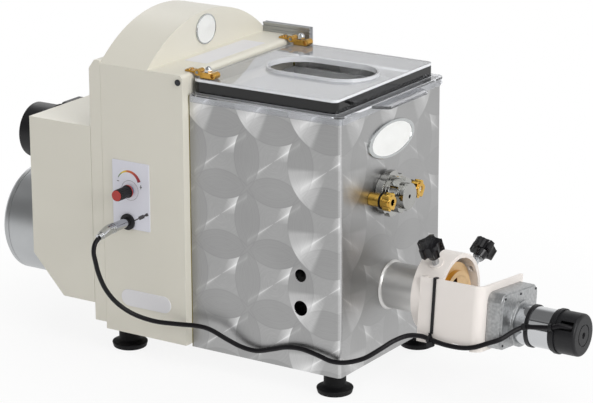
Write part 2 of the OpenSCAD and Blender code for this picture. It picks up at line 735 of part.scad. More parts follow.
// Screw of the extruder: one flight wound on the shaft
flight_t = 5;
flight_x0 = -tank_l + 14;
flight_x1 = tube_out - 2;
flight_half = 180 * flight_t / auger_pitch;
module auger() color("lightgray") placed() at(auger_at) {
    x_cyl(shaft_rear_x, flight_x1, shaft_r);
    translate([flight_x0, 0, 0]) rotate([0, 90, 0])
        linear_extrude(height = flight_x1 - flight_x0, twist = -360 * (flight_x1 - flight_x0) / auger_pitch,
                       slices = round((flight_x1 - flight_x0) / auger_pitch * 18), segments = 8)
            polygon(concat([for (a = [-flight_half : flight_half / 2 : flight_half]) auger_r * [cos(a),
                sin(a)]],
                           [for (a = [flight_half, 0, -flight_half]) (shaft_r - 1.5) * [cos(a), sin(a)]]));
}
module auger_gear() color("lightslategray") placed() at(auger_at)
    gear(plane_a, gear_w, auger_teeth, auger_turn, shaft_r + 0.02, 6, 8);

// ---------- extrusion head ----------

module ring_nut() color("goldenrod") placed() at(auger_at) difference() {
    x_cyl(ring_nut_x, ring_nut_x + ring_nut_l, ring_nut_r);
    x_cyl(ring_nut_x - over, ring_nut_x + ring_nut_l - nut_lip_t, tube_outer_r + run_gap);
    x_cyl(ring_nut_x, ring_nut_x + ring_nut_l + over, tube_outer_r - 4);
    // spanner notches in the front face
    for (i = [0 : 3]) rotate([90 * i + 45, 0, 0]) block(ring_nut_x + ring_nut_l - 3,
        ring_nut_x + ring_nut_l + over, -4, 4, ring_nut_r - 5, ring_nut_r + over);
}

module extrusion_die() color("darkgoldenrod") placed() at(auger_at) difference() {
    x_cyl(die_x, die_x + die_t, tube_outer_r);
    for (i = [1 : die_holes]) rotate([360 / die_holes * i, 0, 0]) translate([0, tube_r - 9, 0])
        x_cyl(die_x - over, die_x + die_t + over, 3);
    x_cyl(die_x + die_t - 5, die_x + die_t + over, knife_shaft_r + run_gap);
}

module tube_seal() color("black") placed() at(auger_at) rotate([0, 90, 0])
    translate([0, 0, ring_nut_x - 1.8]) rotate_extrude() translate([tube_outer_r + 1.6, 0])
        circle(1.5, $fn = 32);

// The bracket and what sits on it are rolled about the clamp ring's axis
module rolled() at(clamp_at) rotate([-bracket_roll, 0, 0]) children();
plate_z0 = -53;
plate_z1 = 28;
bend_r = 12;
star_left = [79, 30];                      // place along X, and lean from upright towards -Y
star_right = [92, -60];

module cutter_bracket() color("antiquewhite") placed() difference() {
    union() {
        rolled() {
            x_cyl(clamp_x0, clamp_x1, clamp_r_outer);
            difference() {
                linear_extrude_z(plate_z0, plate_z1) bracket_plan();
                // the lower edge of the side plate rises round the ring
                translate([0, -bracket_half_w - over, plate_z0])
                    block(clamp_x1 + 14, bracket_front - bend_r, 0, bracket_half_w, -over, 6);
            }
            // web between side plate and ring
            block(clamp_x0 + 12, clamp_x0 + 19, -bracket_half_w, -clamp_r + 4, 0, plate_z1);
            block(clamp_x0 + 12, clamp_x0 + 19, -bracket_half_w, -20, plate_z0, 0);
        }
        for (s = [star_left, star_right]) at(clamp_at) rotate([s[1], 0, 0])
            translate([s[0], 0, clamp_r + 4]) cylinder(h = clamp_wall + 3, r = 9);
        // boss of the knife shaft's bearing
        at(auger_at) x_cyl(bracket_front - bracket_t - 6, bracket_front - over, knife_shaft_r + 7);
    }
    rolled() x_cyl(clamp_x0 - over, clamp_x1 + over, clamp_r);
    for (s = [star_left, star_right]) at(clamp_at) rotate([s[1], 0, 0])
        translate([s[0], 0, clamp_r - 3]) cylinder(h = 40, r = star_screw_r + run_gap);
    at(auger_at) x_cyl(bracket_front - 40, bracket_front + over, knife_shaft_r + run_gap);
}
module linear_extrude_z(z0, z1) translate([0, 0, z0]) linear_extrude(z1 - z0) children();

// Side plate, bend and front wall, seen from above
module bracket_plan() {
    y0 = -bracket_half_w;
    x1 = bracket_front;
    translate([clamp_x0 + 18, y0]) square([x1 - bend_r - clamp_x0 - 18, bracket_t]);
    translate([x1 - bracket_t, y0 + bend_r]) square([bracket_t, 2 * bracket_half_w - bend_r]);
    intersection() {
        translate([x1 - bend_r, y0 + bend_r]) difference() {
            circle(bend_r);
            circle(bend_r - bracket_t);
        }
        translate([x1 - bend_r, y0]) square(bend_r);
    }
}

gearbox_y0 = -37;
gearbox_y1 = 54;
gearbox_z0 = -50;
gearbox_z1 = 20;
module cutter_gearbox() color("silver") placed() difference() {
    union() {
        rolled() {
            along_x(bracket_front + seat_gap, gearbox_x1 - 2)
                round_rect(gearbox_y0, gearbox_y1, gearbox_z0, gearbox_z1, 12);
            along_x(gearbox_x1 - 2.5, gearbox_x1)
                round_rect(gearbox_y0 + 2, gearbox_y1 - 2, gearbox_z0 + 2, gearbox_z1 - 2, 10);
        }
        at(cutter_motor_at) x_cyl(gearbox_x1 - over, gearbox_x1 + 3, cutter_motor_r + 4);
    }
    at(auger_at) x_cyl(bracket_front - over, bracket_front + gearbox_d - 5, knife_shaft_r + run_gap);
}

module cutter_motor() color("whitesmoke") placed() at(cutter_motor_at) {
    x_cyl(gearbox_x1 + 3 + seat_gap, cutter_cap_x - seat_gap, cutter_motor_r);
    x_cyl(cutter_cap_x - over, cutter_cap_x + 12, cutter_motor_r - 6);
}

// End cap with a rounded rim, and the slot that takes the cord
cap_slot_turn = 143;
module cutter_motor_cap() color("black") placed() at(cutter_motor_at) difference() {
    translate([cutter_cap_x, 0, 0]) rotate([0, 90, 0]) rotate_extrude() polygon(concat(
        [[0, 12.3], [cutter_motor_r - 5.7, 12.3], [cutter_motor_r - 5.7, 0], [cutter_cap_r, 0]],
        [for (a = [0 : 15 : 90]) [cutter_cap_r - 4 + 4 * cos(a), cutter_cap_l - 4 + 4 * sin(a)]],
        [[14, cutter_cap_l], [14, cutter_cap_l - 0.8], [12.5, cutter_cap_l - 0.8], [12.5, cutter_cap_l],
         [4, cutter_cap_l], [3, cutter_cap_l - 3], [0, cutter_cap_l - 3]]));
    rotate([cap_slot_turn, 0, 0]) block(cutter_cap_x + 14, cutter_cap_x + cutter_cap_l - 4.5,
        cutter_cap_r - 11, cutter_cap_r + over, -6, 6);
}

module knife_shaft() color("silver") placed() at(auger_at) {
    x_cyl(die_x + die_t - 4.5, gearbox_x1 - 6, knife_shaft_r);
}

// Hub with three sloping blades that sweep the die's face
module knife_blade() color("gainsboro") placed() at(auger_at) difference() {
    union() {
        x_cyl(die_x + die_t + 5, die_x + die_t + 22, knife_shaft_r + 5);
        for (i = [0 : 2]) rotate([120 * i + 20, 0, 0]) translate([die_x + die_t + 5, 0, 0])
            along_y(2, knife_r) polygon([[0.2, 0], [2, 0], [9, 6], [9, 7.5], [7, 7.5]]);
    }
    x_cyl(die_x, die_x + 60, knife_shaft_r + 0.02);
}

// Star knob with five lobes, a tapered neck and its screw
module star_knob(s) color("black") placed() at(clamp_at) rotate([s[1], 0, 0]) translate([s[0], 0, 0]) {
    r = star_knob_d / 2;
    tip = screw_tip(s[1]);
    difference() {
        union() {
            translate([0, 0, star_reach - 7]) linear_extrude(13) circle(r);
            translate([0, 0, star_reach + 6]) rotate_extrude()
                polygon([[0, 0], [r - 1, 0], [r - 4, 1.8], [0, 2.4]]);
        }
        for (i = [0 : 4]) rotate(72 * i) translate([r + 2.6, 0, star_reach - 8]) cylinder(h = 20, r = 7.6);
    }
    translate([0, 0, star_reach - 17]) rotate_extrude()
        polygon([[0, 0], [6.5, 0], [7, 1], [10, 10.5], [0, 10.5]]);
    translate([0, 0, tip]) cylinder(h = star_reach - 16 - tip, r = star_screw_r);
}
// Distance from the clamp's axis at which a screw that leans by a meets the ring nut
function screw_tip(a) = let (d = clamp_at[1] - auger_at[1])
    sqrt(pow(ring_nut_r, 2) - pow(d * sin(a), 2)) - d * cos(a) + seat_gap;
module star_knob_left() star_knob(star_left);
module star_knob_right() star_knob(star_right);

// ---------- lid ----------

module lid() color("lightblue", 0.5) placed() difference() {
    union() {
        linear_extrude_z(tank_h - skirt_h, rim_z + lid_t)
            rim_outline(skirt_gap + lid_t - 0.4, casing_corner_r + skirt_gap + lid_t - 0.4);
        linear_extrude_z(tank_h, lid_top) round_rect(lid_x0, lid_x1, -lid_half, lid_half, 8);
        linear_extrude_z(lid_top - over, lid_top + feed_lip_h) translate([feed_x, feed_y])
            stadium(feed_l + 2 * lid_t, feed_w + 2 * lid_t);
        // grip at the front
        linear_extrude_z(rim_z - 1, rim_z + lid_t)
            polygon([[0, -55], [22, -46], [24, -43], [24, 43], [22, 46], [0, 55]]);
    }
    linear_extrude_z(tank_h - skirt_h - over, rim_z) rim_outline(skirt_gap, casing_corner_r + skirt_gap);
    linear_extrude_z(tank_h - over, lid_top - lid_t)
        round_rect(lid_x0 + lid_t, lid_x1 - lid_t, -lid_half + lid_t, lid_half - lid_t, 5);
    linear_extrude_z(lid_top - lid_t - over, lid_top + feed_lip_h + over) translate([feed_x, feed_y])
        stadium(feed_l, feed_w);
    for (s = [-1, 1]) translate([lid_bolt_x, s * hinge_y, tank_h]) cylinder(h = 60, r = lid_bolt_r + 0.2);
}
// Outline of the rim, grown by t beyond the casing on three sides
module rim_outline(t, r) difference() {
    round_rect(-tank_l - 20, t, -tank_half - t, tank_half + t, r);
    translate([-tank_l - 40, -tank_w]) square([lid_rear_x + tank_l + 40, 2 * tank_w]);
}

knuckle_gap = 0.3;
knuckle_mid = hinge_w * 0.4;
module knuckle(y0, y1) difference() {
    translate([hinge_x, y1, hinge_z]) rotate([90, 0, 0]) cylinder(h = y1 - y0, r = hinge_barrel_r);
    translate([hinge_x, y1 + over, hinge_z]) rotate([90, 0, 0])
        cylinder(h = y1 - y0 + 2 * over, r = hinge_pin_r + run_gap);
}

// Fixed leaves: a strap on the ledge that carries the middle knuckle
module hinge_leaves() color("goldenrod") placed() for (s = [-1, 1]) translate([0, s * hinge_y, 0]) {
    difference() {
        union() {
            block(leaf_x0, hinge_x - hinge_barrel_r - 0.6, -hinge_w / 2, hinge_w / 2, ledge_h + seat_gap,
                ledge_h + leaf_t);
            block(leaf_x0 + 10, hinge_x - 1, -knuckle_mid / 2, knuckle_mid / 2, ledge_h + seat_gap,
                ledge_h + leaf_t);
        }
        translate([hinge_x, hinge_w, hinge_z]) rotate([90, 0, 0])
            cylinder(h = 2 * hinge_w, r = hinge_pin_r + 1);
        for (t = [-1, 1]) translate([leaf_screw_x, t * leaf_screw_y, ledge_h - 8]) cylinder(h = 20, r = 1.6);
    }
    knuckle(-knuckle_mid / 2, knuckle_mid / 2);
    // countersunk screws
    for (t = [-1, 1]) translate([leaf_screw_x, t * leaf_screw_y, ledge_h - 7]) {
        cylinder(h = 9.5, r = 1.55);
        translate([0, 0, 9.5]) cylinder(h = 0.9, r = 2.8);
    }
}

module hinge_pins() color("gray") placed() for (s = [-1, 1])
    translate([hinge_x, s * hinge_y + hinge_w / 2 + 0.5, hinge_z]) rotate([90, 0, 0])
        cylinder(h = hinge_w + 1, r = hinge_pin_r);

// Lid leaves: a thick block bolted on the lid, with the two outer knuckles and a round nose
module lid_hinge_leaves() color("goldenrod") placed() for (s = [-1, 1]) translate([0, s * hinge_y, 0])
    difference() {
    nose_z = lid_top + seat_gap + nose_r;
    union() {
        block(hinge_x + hinge_barrel_r + 0.4, block_x1, -hinge_w / 2, hinge_w / 2, lid_top + seat_gap,
            lid_top + 8);
        for (t = [-1, 1]) {
            y0 = t > 0 ? knuckle_mid / 2 + knuckle_gap : -hinge_w / 2;
            y1 = t > 0 ? hinge_w / 2 : -knuckle_mid / 2 - knuckle_gap;
            knuckle(y0, y1);
            difference() {
                block(hinge_x, hinge_x + hinge_barrel_r + 1, y0, y1, hinge_z - hinge_barrel_r, lid_top + 8);
                translate([hinge_x, hinge_w, hinge_z]) rotate([90, 0, 0])
                    cylinder(h = 2 * hinge_w, r = hinge_pin_r + 1);
            }
        }
        translate([block_x1, hinge_w / 2, nose_z]) rotate([90, 0, 0]) cylinder(h = hinge_w, r = nose_r);
    }
    translate([block_x1, hinge_w, nose_z]) rotate([90, 0, 0]) cylinder(h = 2 * hinge_w, r = nose_r - 1.6);
    translate([lid_bolt_x, 0, lid_top - over]) cylinder(h = 20, r = lid_bolt_r + 0.2);
}

module lid_bolts() color("whitesmoke") placed() for (s = [-1, 1]) translate([lid_bolt_x, s * hinge_y, 0]) {
    z1 = lid_top + 8 + seat_gap;
    z0 = lid_top - lid_t - seat_gap;
    translate([0, 0, z0 - 6]) cylinder(h = z1 - z0 + 7, r = lid_bolt_r);
    translate([0, 0, z0 - 3.5]) cylinder(h = 3.5, r = 5.5, $fn = 6);
    translate([0, 0, z1]) cylinder(h = 3.2, r = 5, $fn = 6);
    translate([0, 0, z1 + 3]) rotate_extrude()
        polygon([[0, 0], [4.2, 0], [4, 1.4], [3.2, 2.8], [1.8, 3.8], [0, 4.2]]);
}

// Grooved bar on the ledge with a short leg at its front end
module lid_switch_bar() color("silver") placed() {
    x0 = hump_x1 + seat_gap;
    x1 = -tank_l + 20;
    y0 = column_half - 8.5;
    z0 = ledge_h + seat_gap;
    difference() {
        union() {
            block(x0, x1, y0, column_half, z0, z0 + 12);
            block(x1 - 8, x1, y0, column_half, z0 - 15, z0 + over);
        }
        for (z = [3, 7.5]) block(x0 - over, x1 + over, y0 - over, y0 + 1.2, z0 + z, z0 + z + 2);
        block(x0 - over, x1 + over, y0 + 3, y0 + 5.5, z0 + 11, z0 + 12 + over);
        for (y = [2.5, 5]) block(x1 - 1.2, x1 + over, y0 + y, y0 + y + 1, z0 - 15 - over, z0 + 12 + over);
    }
}

// ---------- controls ----------

module control_panel() color("whitesmoke") placed() difference() {
    y1 = -column_half - 0.1;
    along_y(y1 - panel_t, y1) round_rect(panel_x - panel_w / 2, panel_x + panel_w / 2,
        panel_z - panel_h / 2, panel_z + panel_h / 2, 1.5);
    translate([speed_at[0], y1 + over, speed_at[1]]) rotate([90, 0, 0])
        cylinder(h = panel_t + 2 * over, r = 4.6);
    translate([socket_at[0], y1 + over, socket_at[1]]) rotate([90, 0, 0])
        cylinder(h = panel_t + 2 * over, r = 8.1);
}
panel_face = -column_half - 0.1 - panel_t;

// Round bodies along -Y: y0 is the end nearer to the viewer
module y_cyl(at_xz, y0, y1, r) translate([at_xz[0], y1, at_xz[1]]) rotate([90, 0, 0])
    cylinder(h = y1 - y0, r = r);

module speed_potentiometer() color("steelblue") placed() difference() {
    union() {
        y_cyl(speed_at, -column_half + sheet_t + seat_gap, -column_half + sheet_t + 12, 12);
        y_cyl(speed_at, panel_face - 4, -column_half + sheet_t + 2, 4.5);
        y_cyl(speed_at, panel_face - 2.4, panel_face - 0.2, 6.3);
    }
    y_cyl(speed_at, panel_face - 10, -column_half + sheet_t + 8, pot_shaft_r + run_gap);
}
pot_shaft_r = 3;
knob_y1 = panel_face - 4.3;
knob_y0 = panel_face - speed_knob_l;

module speed_knob_shaft() color("silver") placed()
    y_cyl(speed_at, knob_y0 + 6, -column_half + sheet_t + 7.5, pot_shaft_r);

module speed_knob() color("black") placed() translate([speed_at[0], 0, speed_at[1]]) difference() {
    union() {
        y_cyl([0, 0], knob_y1 - 1.8, knob_y1, speed_knob_r + 1);
        along_y(knob_y0 + 1.5, knob_y1 - 1) difference() {
            circle(speed_knob_r);
            for (i = [0 : 17]) rotate(20 * i) translate([speed_knob_r + 0.5, 0]) circle(0.95, $fn = 24);
        }
    }
    y_cyl([0, 0], knob_y0 + 5, knob_y1 + over, pot_shaft_r + 0.02);
    y_cyl([0, 0], knob_y0, knob_y0 + 2.5, speed_knob_r - 2);
}
module speed_knob_cap() color("firebrick") placed() {
    y_cyl(speed_at, knob_y0 + 0.7, knob_y0 + 2.4, speed_knob_r - 2.05);
    y_cyl(speed_at, knob_y0, knob_y0 + 1.2, speed_knob_r - 0.6);
}

module cutter_socket() color("black") placed() difference() {
    union() {
        y_cyl(socket_at, panel_face - 6, panel_face - 0.1, socket_r);
        y_cyl(socket_at, panel_face - over, -column_half + sheet_t + 12, 8);
        y_cyl(socket_at, -column_half + sheet_t + seat_gap, -column_half + sheet_t + 4, 10);
    }
    y_cyl(socket_at, panel_face - 7, -column_half + sheet_t + 8, plug_r + run_gap);
}

module cutter_plug() color("silver") placed() {
    elbow = [socket_at[0], -column_half - 43, socket_at[1]];
    y_cyl(socket_at, elbow[1], -column_half + sheet_t, plug_r);
    // grip rings on the barrel
    for (i = [0 : 2]) y_cyl(socket_at, elbow[1] + 1 + 4 * i, elbow[1] + 3 + 4 * i, plug_r + 0.5);
    translate(elbow) rotate([90 + plug_tilt, 0, 0]) translate([0, 0, -1]) rotate_extrude()
        polygon([[0, 0], [plug_r + 0.3, 0],
        [plug_r + 0.5, 3], [plug_r - 0.6, 16], [plug_r - 1.2, 16.2], [cord_r + 1.2, 22], [0, 22]]);
}

module selector_shroud() color("black") placed() at(shroud_at) difference() {
    x0 = box_x0 - shroud_l;
    x1 = box_x0 - seat_gap;
    union() {
        x_cyl(x0, x1, shroud_r);
        x_cyl(x1 - 3, x1, shroud_r + 2);
    }
    x_cyl(x0 - over, x1 - 3, shroud_r - 3);
    x_cyl(x1 - 4, x1 + over, selector_spindle_r + run_gap);
}

module selector_knob() color("dimgray") placed() at(shroud_at) {
    x1 = box_x0 - 3 - 2 * seat_gap;
    x_cyl(x1 - 8, x1, shroud_r - 14);
    block(x1 - 22, x1 - 7, -5, 5, -shroud_r + 15, shroud_r - 15);
    x_cyl(x1 - over, box_x0 + sheet_t + 10, selector_spindle_r);
}

module button_hood() color("black") placed() at(hood_at) difference() {
    x0 = box_x0 - hood_l;
    x1 = box_x0 - seat_gap;
    along_x(x0, x1) round_rect(-hood_w / 2, hood_w / 2, -hood_h / 2, hood_h / 2, 8);
    along_x(x0 - over, x1 - 3) round_rect(-hood_w / 2 + 2.5, hood_w / 2 - 2.5, -hood_h / 2 + 2.5,
        hood_h / 2 - 2.5, 5.5);
    for (z = [-1, 1]) translate([0, 0, z * button_pitch / 2])
        x_cyl(x1 - 4, x1 + over, button_stem_r + run_gap);
}

// Push button: round cap on a stem through the hood's floor and the box's wall
module push_button(z) placed() at(hood_at + [0, z * button_pitch / 2]) {
    x1 = box_x0 - 3 - seat_gap - button_travel - seat_gap;
    x_cyl(x1 - 6, x1, button_r);
    x_cyl(x1 - 7.5, x1 - 5, button_r - 1.5);
    x_cyl(x1 - over, box_x0 + sheet_t + 8, button_stem_r);
}
module start_button() color("green") push_button(1);
module stop_button() color("firebrick") push_button(-1);

// ---------- cord and ties ----------

// Smooth curve through the route's points
function spline(a, b, c, d, t) = 0.5 * (2 * b + (c - a) * t + (2 * a - 5 * b + 4 * c - d) * t * t + (3 * b - a - 3 * c + d) * t * t * t);
function route_at(i) = cord_route[min(max(i, 0), len(cord_route) - 1)];
cord_rings = concat([for (i = [0 : len(cord_route) - 2], k = [0, 1])
    spline(route_at(i - 1), route_at(i), route_at(i + 1), route_at(i + 2), k / 2)],
        [cord_route[len(cord_route) - 1]]);

// Tube: rings of points, each turned a little so that it stays square to the route
function unit(v) = v / norm(v);
function ring_dir(i) = unit(cord_rings[min(i + 1, len(cord_rings) - 1)] - cord_rings[max(i - 1, 0)]);
module cutter_cord() color("black") placed() {
    sides = 8;
    n = len(cord_rings);
    frames = [for (i = 0, s = unit(cross(ring_dir(0), [1, 0, 0])); i < n;
               i = i + 1, s = i < n ? unit(s - (s * ring_dir(i)) * ring_dir(i)) : s) [s,
                   cross(ring_dir(i), s)]];
    points = [for (i = [0 : n - 1], j = [0 : sides - 1])
        cord_rings[i] + cord_r * (cos(360 / sides * j) * frames[i][0] + sin(360 / sides * j) * frames[i][1])];
    walls = [for (i = [0 : n - 2], j = [0 : sides - 1]) let (a = i * sides + j,
        b = i * sides + (j + 1) % sides)
        each [[a, b, a + sides], [b, b + sides, a + sides]]];
    polyhedron(points, concat([[for (j = [sides - 1 : -1 : 0]) j]], walls,
        [[for (j = [0 : sides - 1]) (n - 1) * sides + j]]));
}

// Ring round the cord where it passes the point p, w wide
module cord_ring(p, w) {
    i = [for (k = [0 : len(cord_route) - 1]) if (cord_route[k] == p) k][0];
    d = ring_dir(2 * i);
    translate(p) rotate([0, acos(d[2]), atan2(d[1], d[0])]) difference() {
        cylinder(h = w, r = cord_r + 1.7, center = true);
        cylinder(h = w + 2 * over, r = cord_r + 0.4, center = true);
    }
}

// Ties: two hoops round the motor, each with a ring round the cord, and a strap over the side plate
module cable_ties() color("black") placed() {
    for (p = tie_spots) {
        hoop_r = p[0] < cutter_cap_x ? cutter_motor_r : cutter_cap_r;
        cord_ring(p, 4);
        difference() {
            at(cutter_motor_at) x_ring(p[0] - 2.3, p[0] + 2.3, hoop_r + 1.6, hoop_r + run_gap);
            translate(p) rotate([0, 90, 0]) cylinder(h = 8, r = cord_r + 1, center = true);
        }
    }
    cord_ring(strap_spot, 4);
    translate(strap_spot + [-2.5, -2.5, -cord_r - 6.5]) cube([5, 5, 6]);
    rolled() {
        y0 = -bracket_half_w - seat_gap;
        x0 = strap_spot[0] - 2;
        block(x0, x0 + 4, y0 - 1.2, y0, plate_z0 + 13, plate_z1 + 1.5);
        block(x0, x0 + 4, y0 - 1.2, y0 + bracket_t + 1.8, plate_z1 + 0.3, plate_z1 + 1.5);
        block(x0, x0 + 4, y0 + bracket_t + 0.6, y0 + bracket_t + 1.8, plate_z1 - 5, plate_z1 + 1.5);
    }
}

gear_housing();
rear_cover();
motor_box();
tank_casing();
base_plate();
casing_gasket();
kneading_tank();
auger_barrel();
shaft_hub();
hub_sleeves();
feet();
cover_screws();
hinge_leaves();
hinge_pins();
lid_switch_bar();
control_panel();
speed_potentiometer();
cutter_socket();
cable_gland();
gear_plate();
shaft_bearings();
shaft_seals();
motor_frame();
motor_end_cover();
ring_nut();
extrusion_die();
tube_seal();
cutter_bracket();
cutter_gearbox();
cutter_motor();
cutter_motor_cap();
cable_ties();
cutter_plug();
cutter_cord();
selector_shroud();
button_hood();
lid();
lid_hinge_leaves();
lid_bolts();
kneading_shaft();
kneading_paddles();
kneading_gear();
auger();
auger_gear();
layshaft();
layshaft_gears();
motor_rotor();
motor_pinion();
knife_shaft();
knife_blade();
speed_knob();
speed_knob_cap();
speed_knob_shaft();
selector_knob();
start_button();
stop_button();
star_knob_left();
star_knob_right();
brass_knob_left();
brass_knob_right();
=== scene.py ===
import json
import math
from functools import partial

import bmesh
import bpy
from mathutils import Matrix, Vector


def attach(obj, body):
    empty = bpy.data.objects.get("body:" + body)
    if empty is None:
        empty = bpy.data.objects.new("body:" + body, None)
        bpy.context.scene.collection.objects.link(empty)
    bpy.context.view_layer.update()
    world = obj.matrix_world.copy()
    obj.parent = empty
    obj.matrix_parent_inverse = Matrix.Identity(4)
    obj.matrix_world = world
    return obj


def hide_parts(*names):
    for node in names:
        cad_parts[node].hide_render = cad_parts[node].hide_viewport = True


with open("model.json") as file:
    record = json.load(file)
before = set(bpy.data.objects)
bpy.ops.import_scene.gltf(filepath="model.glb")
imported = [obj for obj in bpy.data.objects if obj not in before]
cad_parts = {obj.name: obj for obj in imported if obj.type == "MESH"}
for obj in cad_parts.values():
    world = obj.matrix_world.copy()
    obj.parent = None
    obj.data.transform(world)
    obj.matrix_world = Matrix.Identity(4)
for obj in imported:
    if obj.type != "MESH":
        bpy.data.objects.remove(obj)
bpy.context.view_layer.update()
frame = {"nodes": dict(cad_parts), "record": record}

mm = 0.001
tankFront = Vector((176.5, 0.0, 27.0))  # middle of the tank's lower front edge, which most pieces are measured from


def place(x, y, z):  # millimetres from that edge, turned to the frame's metres
    return (Vector((x, y, z)) + tankFront) * mm


def addObject(name, data):
    made = bpy.data.objects.new(name, data)
    bpy.context.scene.collection.objects.link(made)
    return made


# a long lens that looks a little down on the lid; lengths in mm, places in metres, angles in degrees
camera = {"lens": 156.3, "sensor": 36, "farthest": 50, "place": (1.7355, -2.6147, 1.1417),
          "azimuth": 33.02, "elevation": 16.80, "roll": -0.24}


def makeCamera():
    a, e, roll = (math.radians(camera[key]) for key in ("azimuth", "elevation", "roll"))
    right = Vector((math.cos(a), math.sin(a), 0))
    back = Vector((math.sin(a) * math.cos(e), -math.cos(a) * math.cos(e), math.sin(e)))
    up = back.cross(right)
    right, up = (math.cos(roll) * right + math.sin(roll) * up, math.cos(roll) * up - math.sin(roll) * right)
    data = bpy.data.cameras.new("camera")
    data.lens = camera["lens"]
    data.sensor_width = camera["sensor"]
    data.clip_end = camera["farthest"]
    eye = addObject("camera", data)
    turn = Matrix((right, up, back)).transposed().to_4x4()
    eye.matrix_world = Matrix.Translation(camera["place"]) @ turn
    bpy.context.scene.camera = eye


makeCamera()
print("camera placed")


def srgb(code):  # a hex colour, turned to the linear values that shaders take
    channels = [int(code[i:i + 2], 16) / 255 for i in (0, 2, 4)]
    return tuple(c / 12.92 if c <= 0.04045 else ((c + 0.055) / 1.055) ** 2.4 for c in channels) + (1.0,)


def fill(tree, node, values):  # sets or links a node's inputs, each found by its place or its identifier
    for key, value in values.items():
        socket = node.inputs[key] if isinstance(key, int) else next(s for s in node.inputs if s.identifier == key)
        if isinstance(value, bpy.types.NodeSocket):
            tree.links.new(value, socket)
        else:
            socket.default_value = value


# Adds a node and gives one of its outputs. Values go to its inputs in order and capitalised names to the inputs
# that they name; names in small letters are settings. A kind written in capitals is a step of arithmetic.
def addNode(tree, kind, *values, pick=0, **named):
    settings = {key: value for key, value in named.items() if key.islower()}
    inputs = {key: value for key, value in named.items() if key not in settings}
    if kind.isupper():
        kind, settings["operation"] = "Math", kind
    node = tree.nodes.new("ShaderNode" + kind)
    for key, value in settings.items():
        setattr(node, key, value)
    fill(tree, node, {**dict(enumerate(values)), **inputs})
    return node.outputs[pick] if node.outputs else node


def startMaterial(name):
    material = bpy.data.materials.new(name)
    material.use_nodes = True
    tree = material.node_tree
    add = partial(addNode, tree)
    return material, tree, add, add("TexCoord", pick="Object")


def finishMaterial(material, tree, values):
    fill(tree, tree.nodes["Principled BSDF"], values)
    return material


colours = {"data_type": "RGBA", "pick": 2}        # a Mix of two colours
smooth = {"interpolation_type": "SMOOTHSTEP"}     # a Map Range that is 0 below, 1 above and smooth between
noiseSpan = (0.3, 0.7)                            # most of a noise lies between these


# light and dark are the two ends of a slow mottle of that size in mm; grain is the size in mm of the fine texture,
# bump its depth in mm, rough its two ends of roughness
def surface(name, light, dark, metallic, rough, grain, bump, stretch=(1, 1, 1), mottle=60.0, extra=None):
    material, tree, add, coords = startMaterial(name)
    cloud = add("TexNoise", Vector=coords, Scale=1000 / mottle, Detail=3.0)
    drawn = add("Mapping", Vector=coords, Scale=stretch)  # squeezes or stretches the grain along the axes
    fine = add("TexNoise", Vector=drawn, Scale=1000 / grain, Detail=2.0)
    return finishMaterial(material, tree, {
        "Base Color": add("Mix", cloud, A_Color=srgb(dark), B_Color=srgb(light), **colours),
        "Roughness": add("MapRange", fine, *noiseSpan, *rough),
        "Normal": add("Bump", Height=fine, Strength=1.0, Distance=bump * mm),
        "Metallic": metallic, **(extra or {})})


# sheet steel, sprayed and stoved: an even warm ivory with a soft orange peel and a satin gloss
ivoryEnamel = surface("ivoryEnamel", "e2dfd3", "dcd8cb", 0.0, (0.30, 0.40), 2.4, 0.02, mottle=140)
# zinc casting in off-white powder coat: a little pinker and coarser than the ivory sheets
bracketPowder = surface("bracketPowderCoat", "efe9e4", "e9e2dc", 0.0, (0.32, 0.44), 1.8, 0.03, mottle=80)
# rolled stainless sheet, satin: fine grain along the sheet and a grey cloudiness
satinSteel = surface("satinStainless", "b9babb", "a4a5a6", 1.0, (0.24, 0.36), 1.2, 0.004, stretch=(1, 1, 8))
# the trough's stainless sheet, polished so that dough lets go; its colour is painted paler, a painted light for the
# light that the clear lid holds back, with a soft cloud
troughSteel = surface("polishedStainlessPaintedLight", "f2f2f2", "e9e9e9", 0.5, (0.16, 0.26), 1.4, 0.003, mottle=90)
# stainless tube, turned: fine rings round the tube, drawn coarser than they are so that they show
tubeSteel = surface("turnedStainless", "dddcda", "c9c8c6", 1.0, (0.36, 0.46), 0.9, 0.006,
                    stretch=(12, 1, 1), mottle=25)
# stainless gearing and shafts inside, ground and oiled: dark grey with faint rings
groundSteel = surface("groundSteel", "9a9c9e", "84868a", 1.0, (0.25, 0.38), 1.5, 0.004, stretch=(8, 1, 1))
# bright chrome plate: hard reflections with the faintest haze
chromePlate = surface("chromePlate", "c9cacc", "bcbec0", 1.0, (0.07, 0.13), 3.0, 0.001, mottle=30)
# the hub's stainless steel, turned and polished: a little darker than chrome, with fine rings
hubSteel = surface("polishedTurnedStainless", "b0b0ad", "999996", 1.0, (0.06, 0.13), 0.8, 0.002,
                   stretch=(8, 1, 1), mottle=20)
# turned brass: warm yellow, darker where it has tarnished
turnedBrass = surface("turnedBrass", "dcb860", "bb8d37", 1.0, (0.06, 0.14), 0.8, 0.002, stretch=(6, 1, 1), mottle=14)
# bronze faced flat on the lathe: a pale, even tan that hardly mirrors
facedBronze = surface("facedBronze", "e2c49a", "d3b283", 1.0, (0.42, 0.54), 0.8, 0.004, mottle=9)
# rolled brass strip of the hinges: duller and browner than the turned pieces
brassStrip = surface("brassStrip", "cfa556", "ae823a", 1.0, (0.14, 0.22), 1.2, 0.001, mottle=30)
# zinc die casting, bare: pale grey with a grainy cast skin
castZinc = surface("castZinc", "d2d3d3", "808284", 1.0, (0.34, 0.50), 1.1, 0.02, mottle=3)
# galvanised studs of the star knobs: pale, faintly rough
zincStud = surface("galvanisedSteel", "c4c6c8", "aeb1b4", 1.0, (0.22, 0.34), 1.0, 0.01, mottle=6)
# aluminium castings of the main motor, turned: silver with fine rings
turnedAluminium = surface("turnedAluminium", "c3c5c6", "a9abad", 1.0, (0.34, 0.46), 1.0, 0.008, stretch=(10, 1, 1))
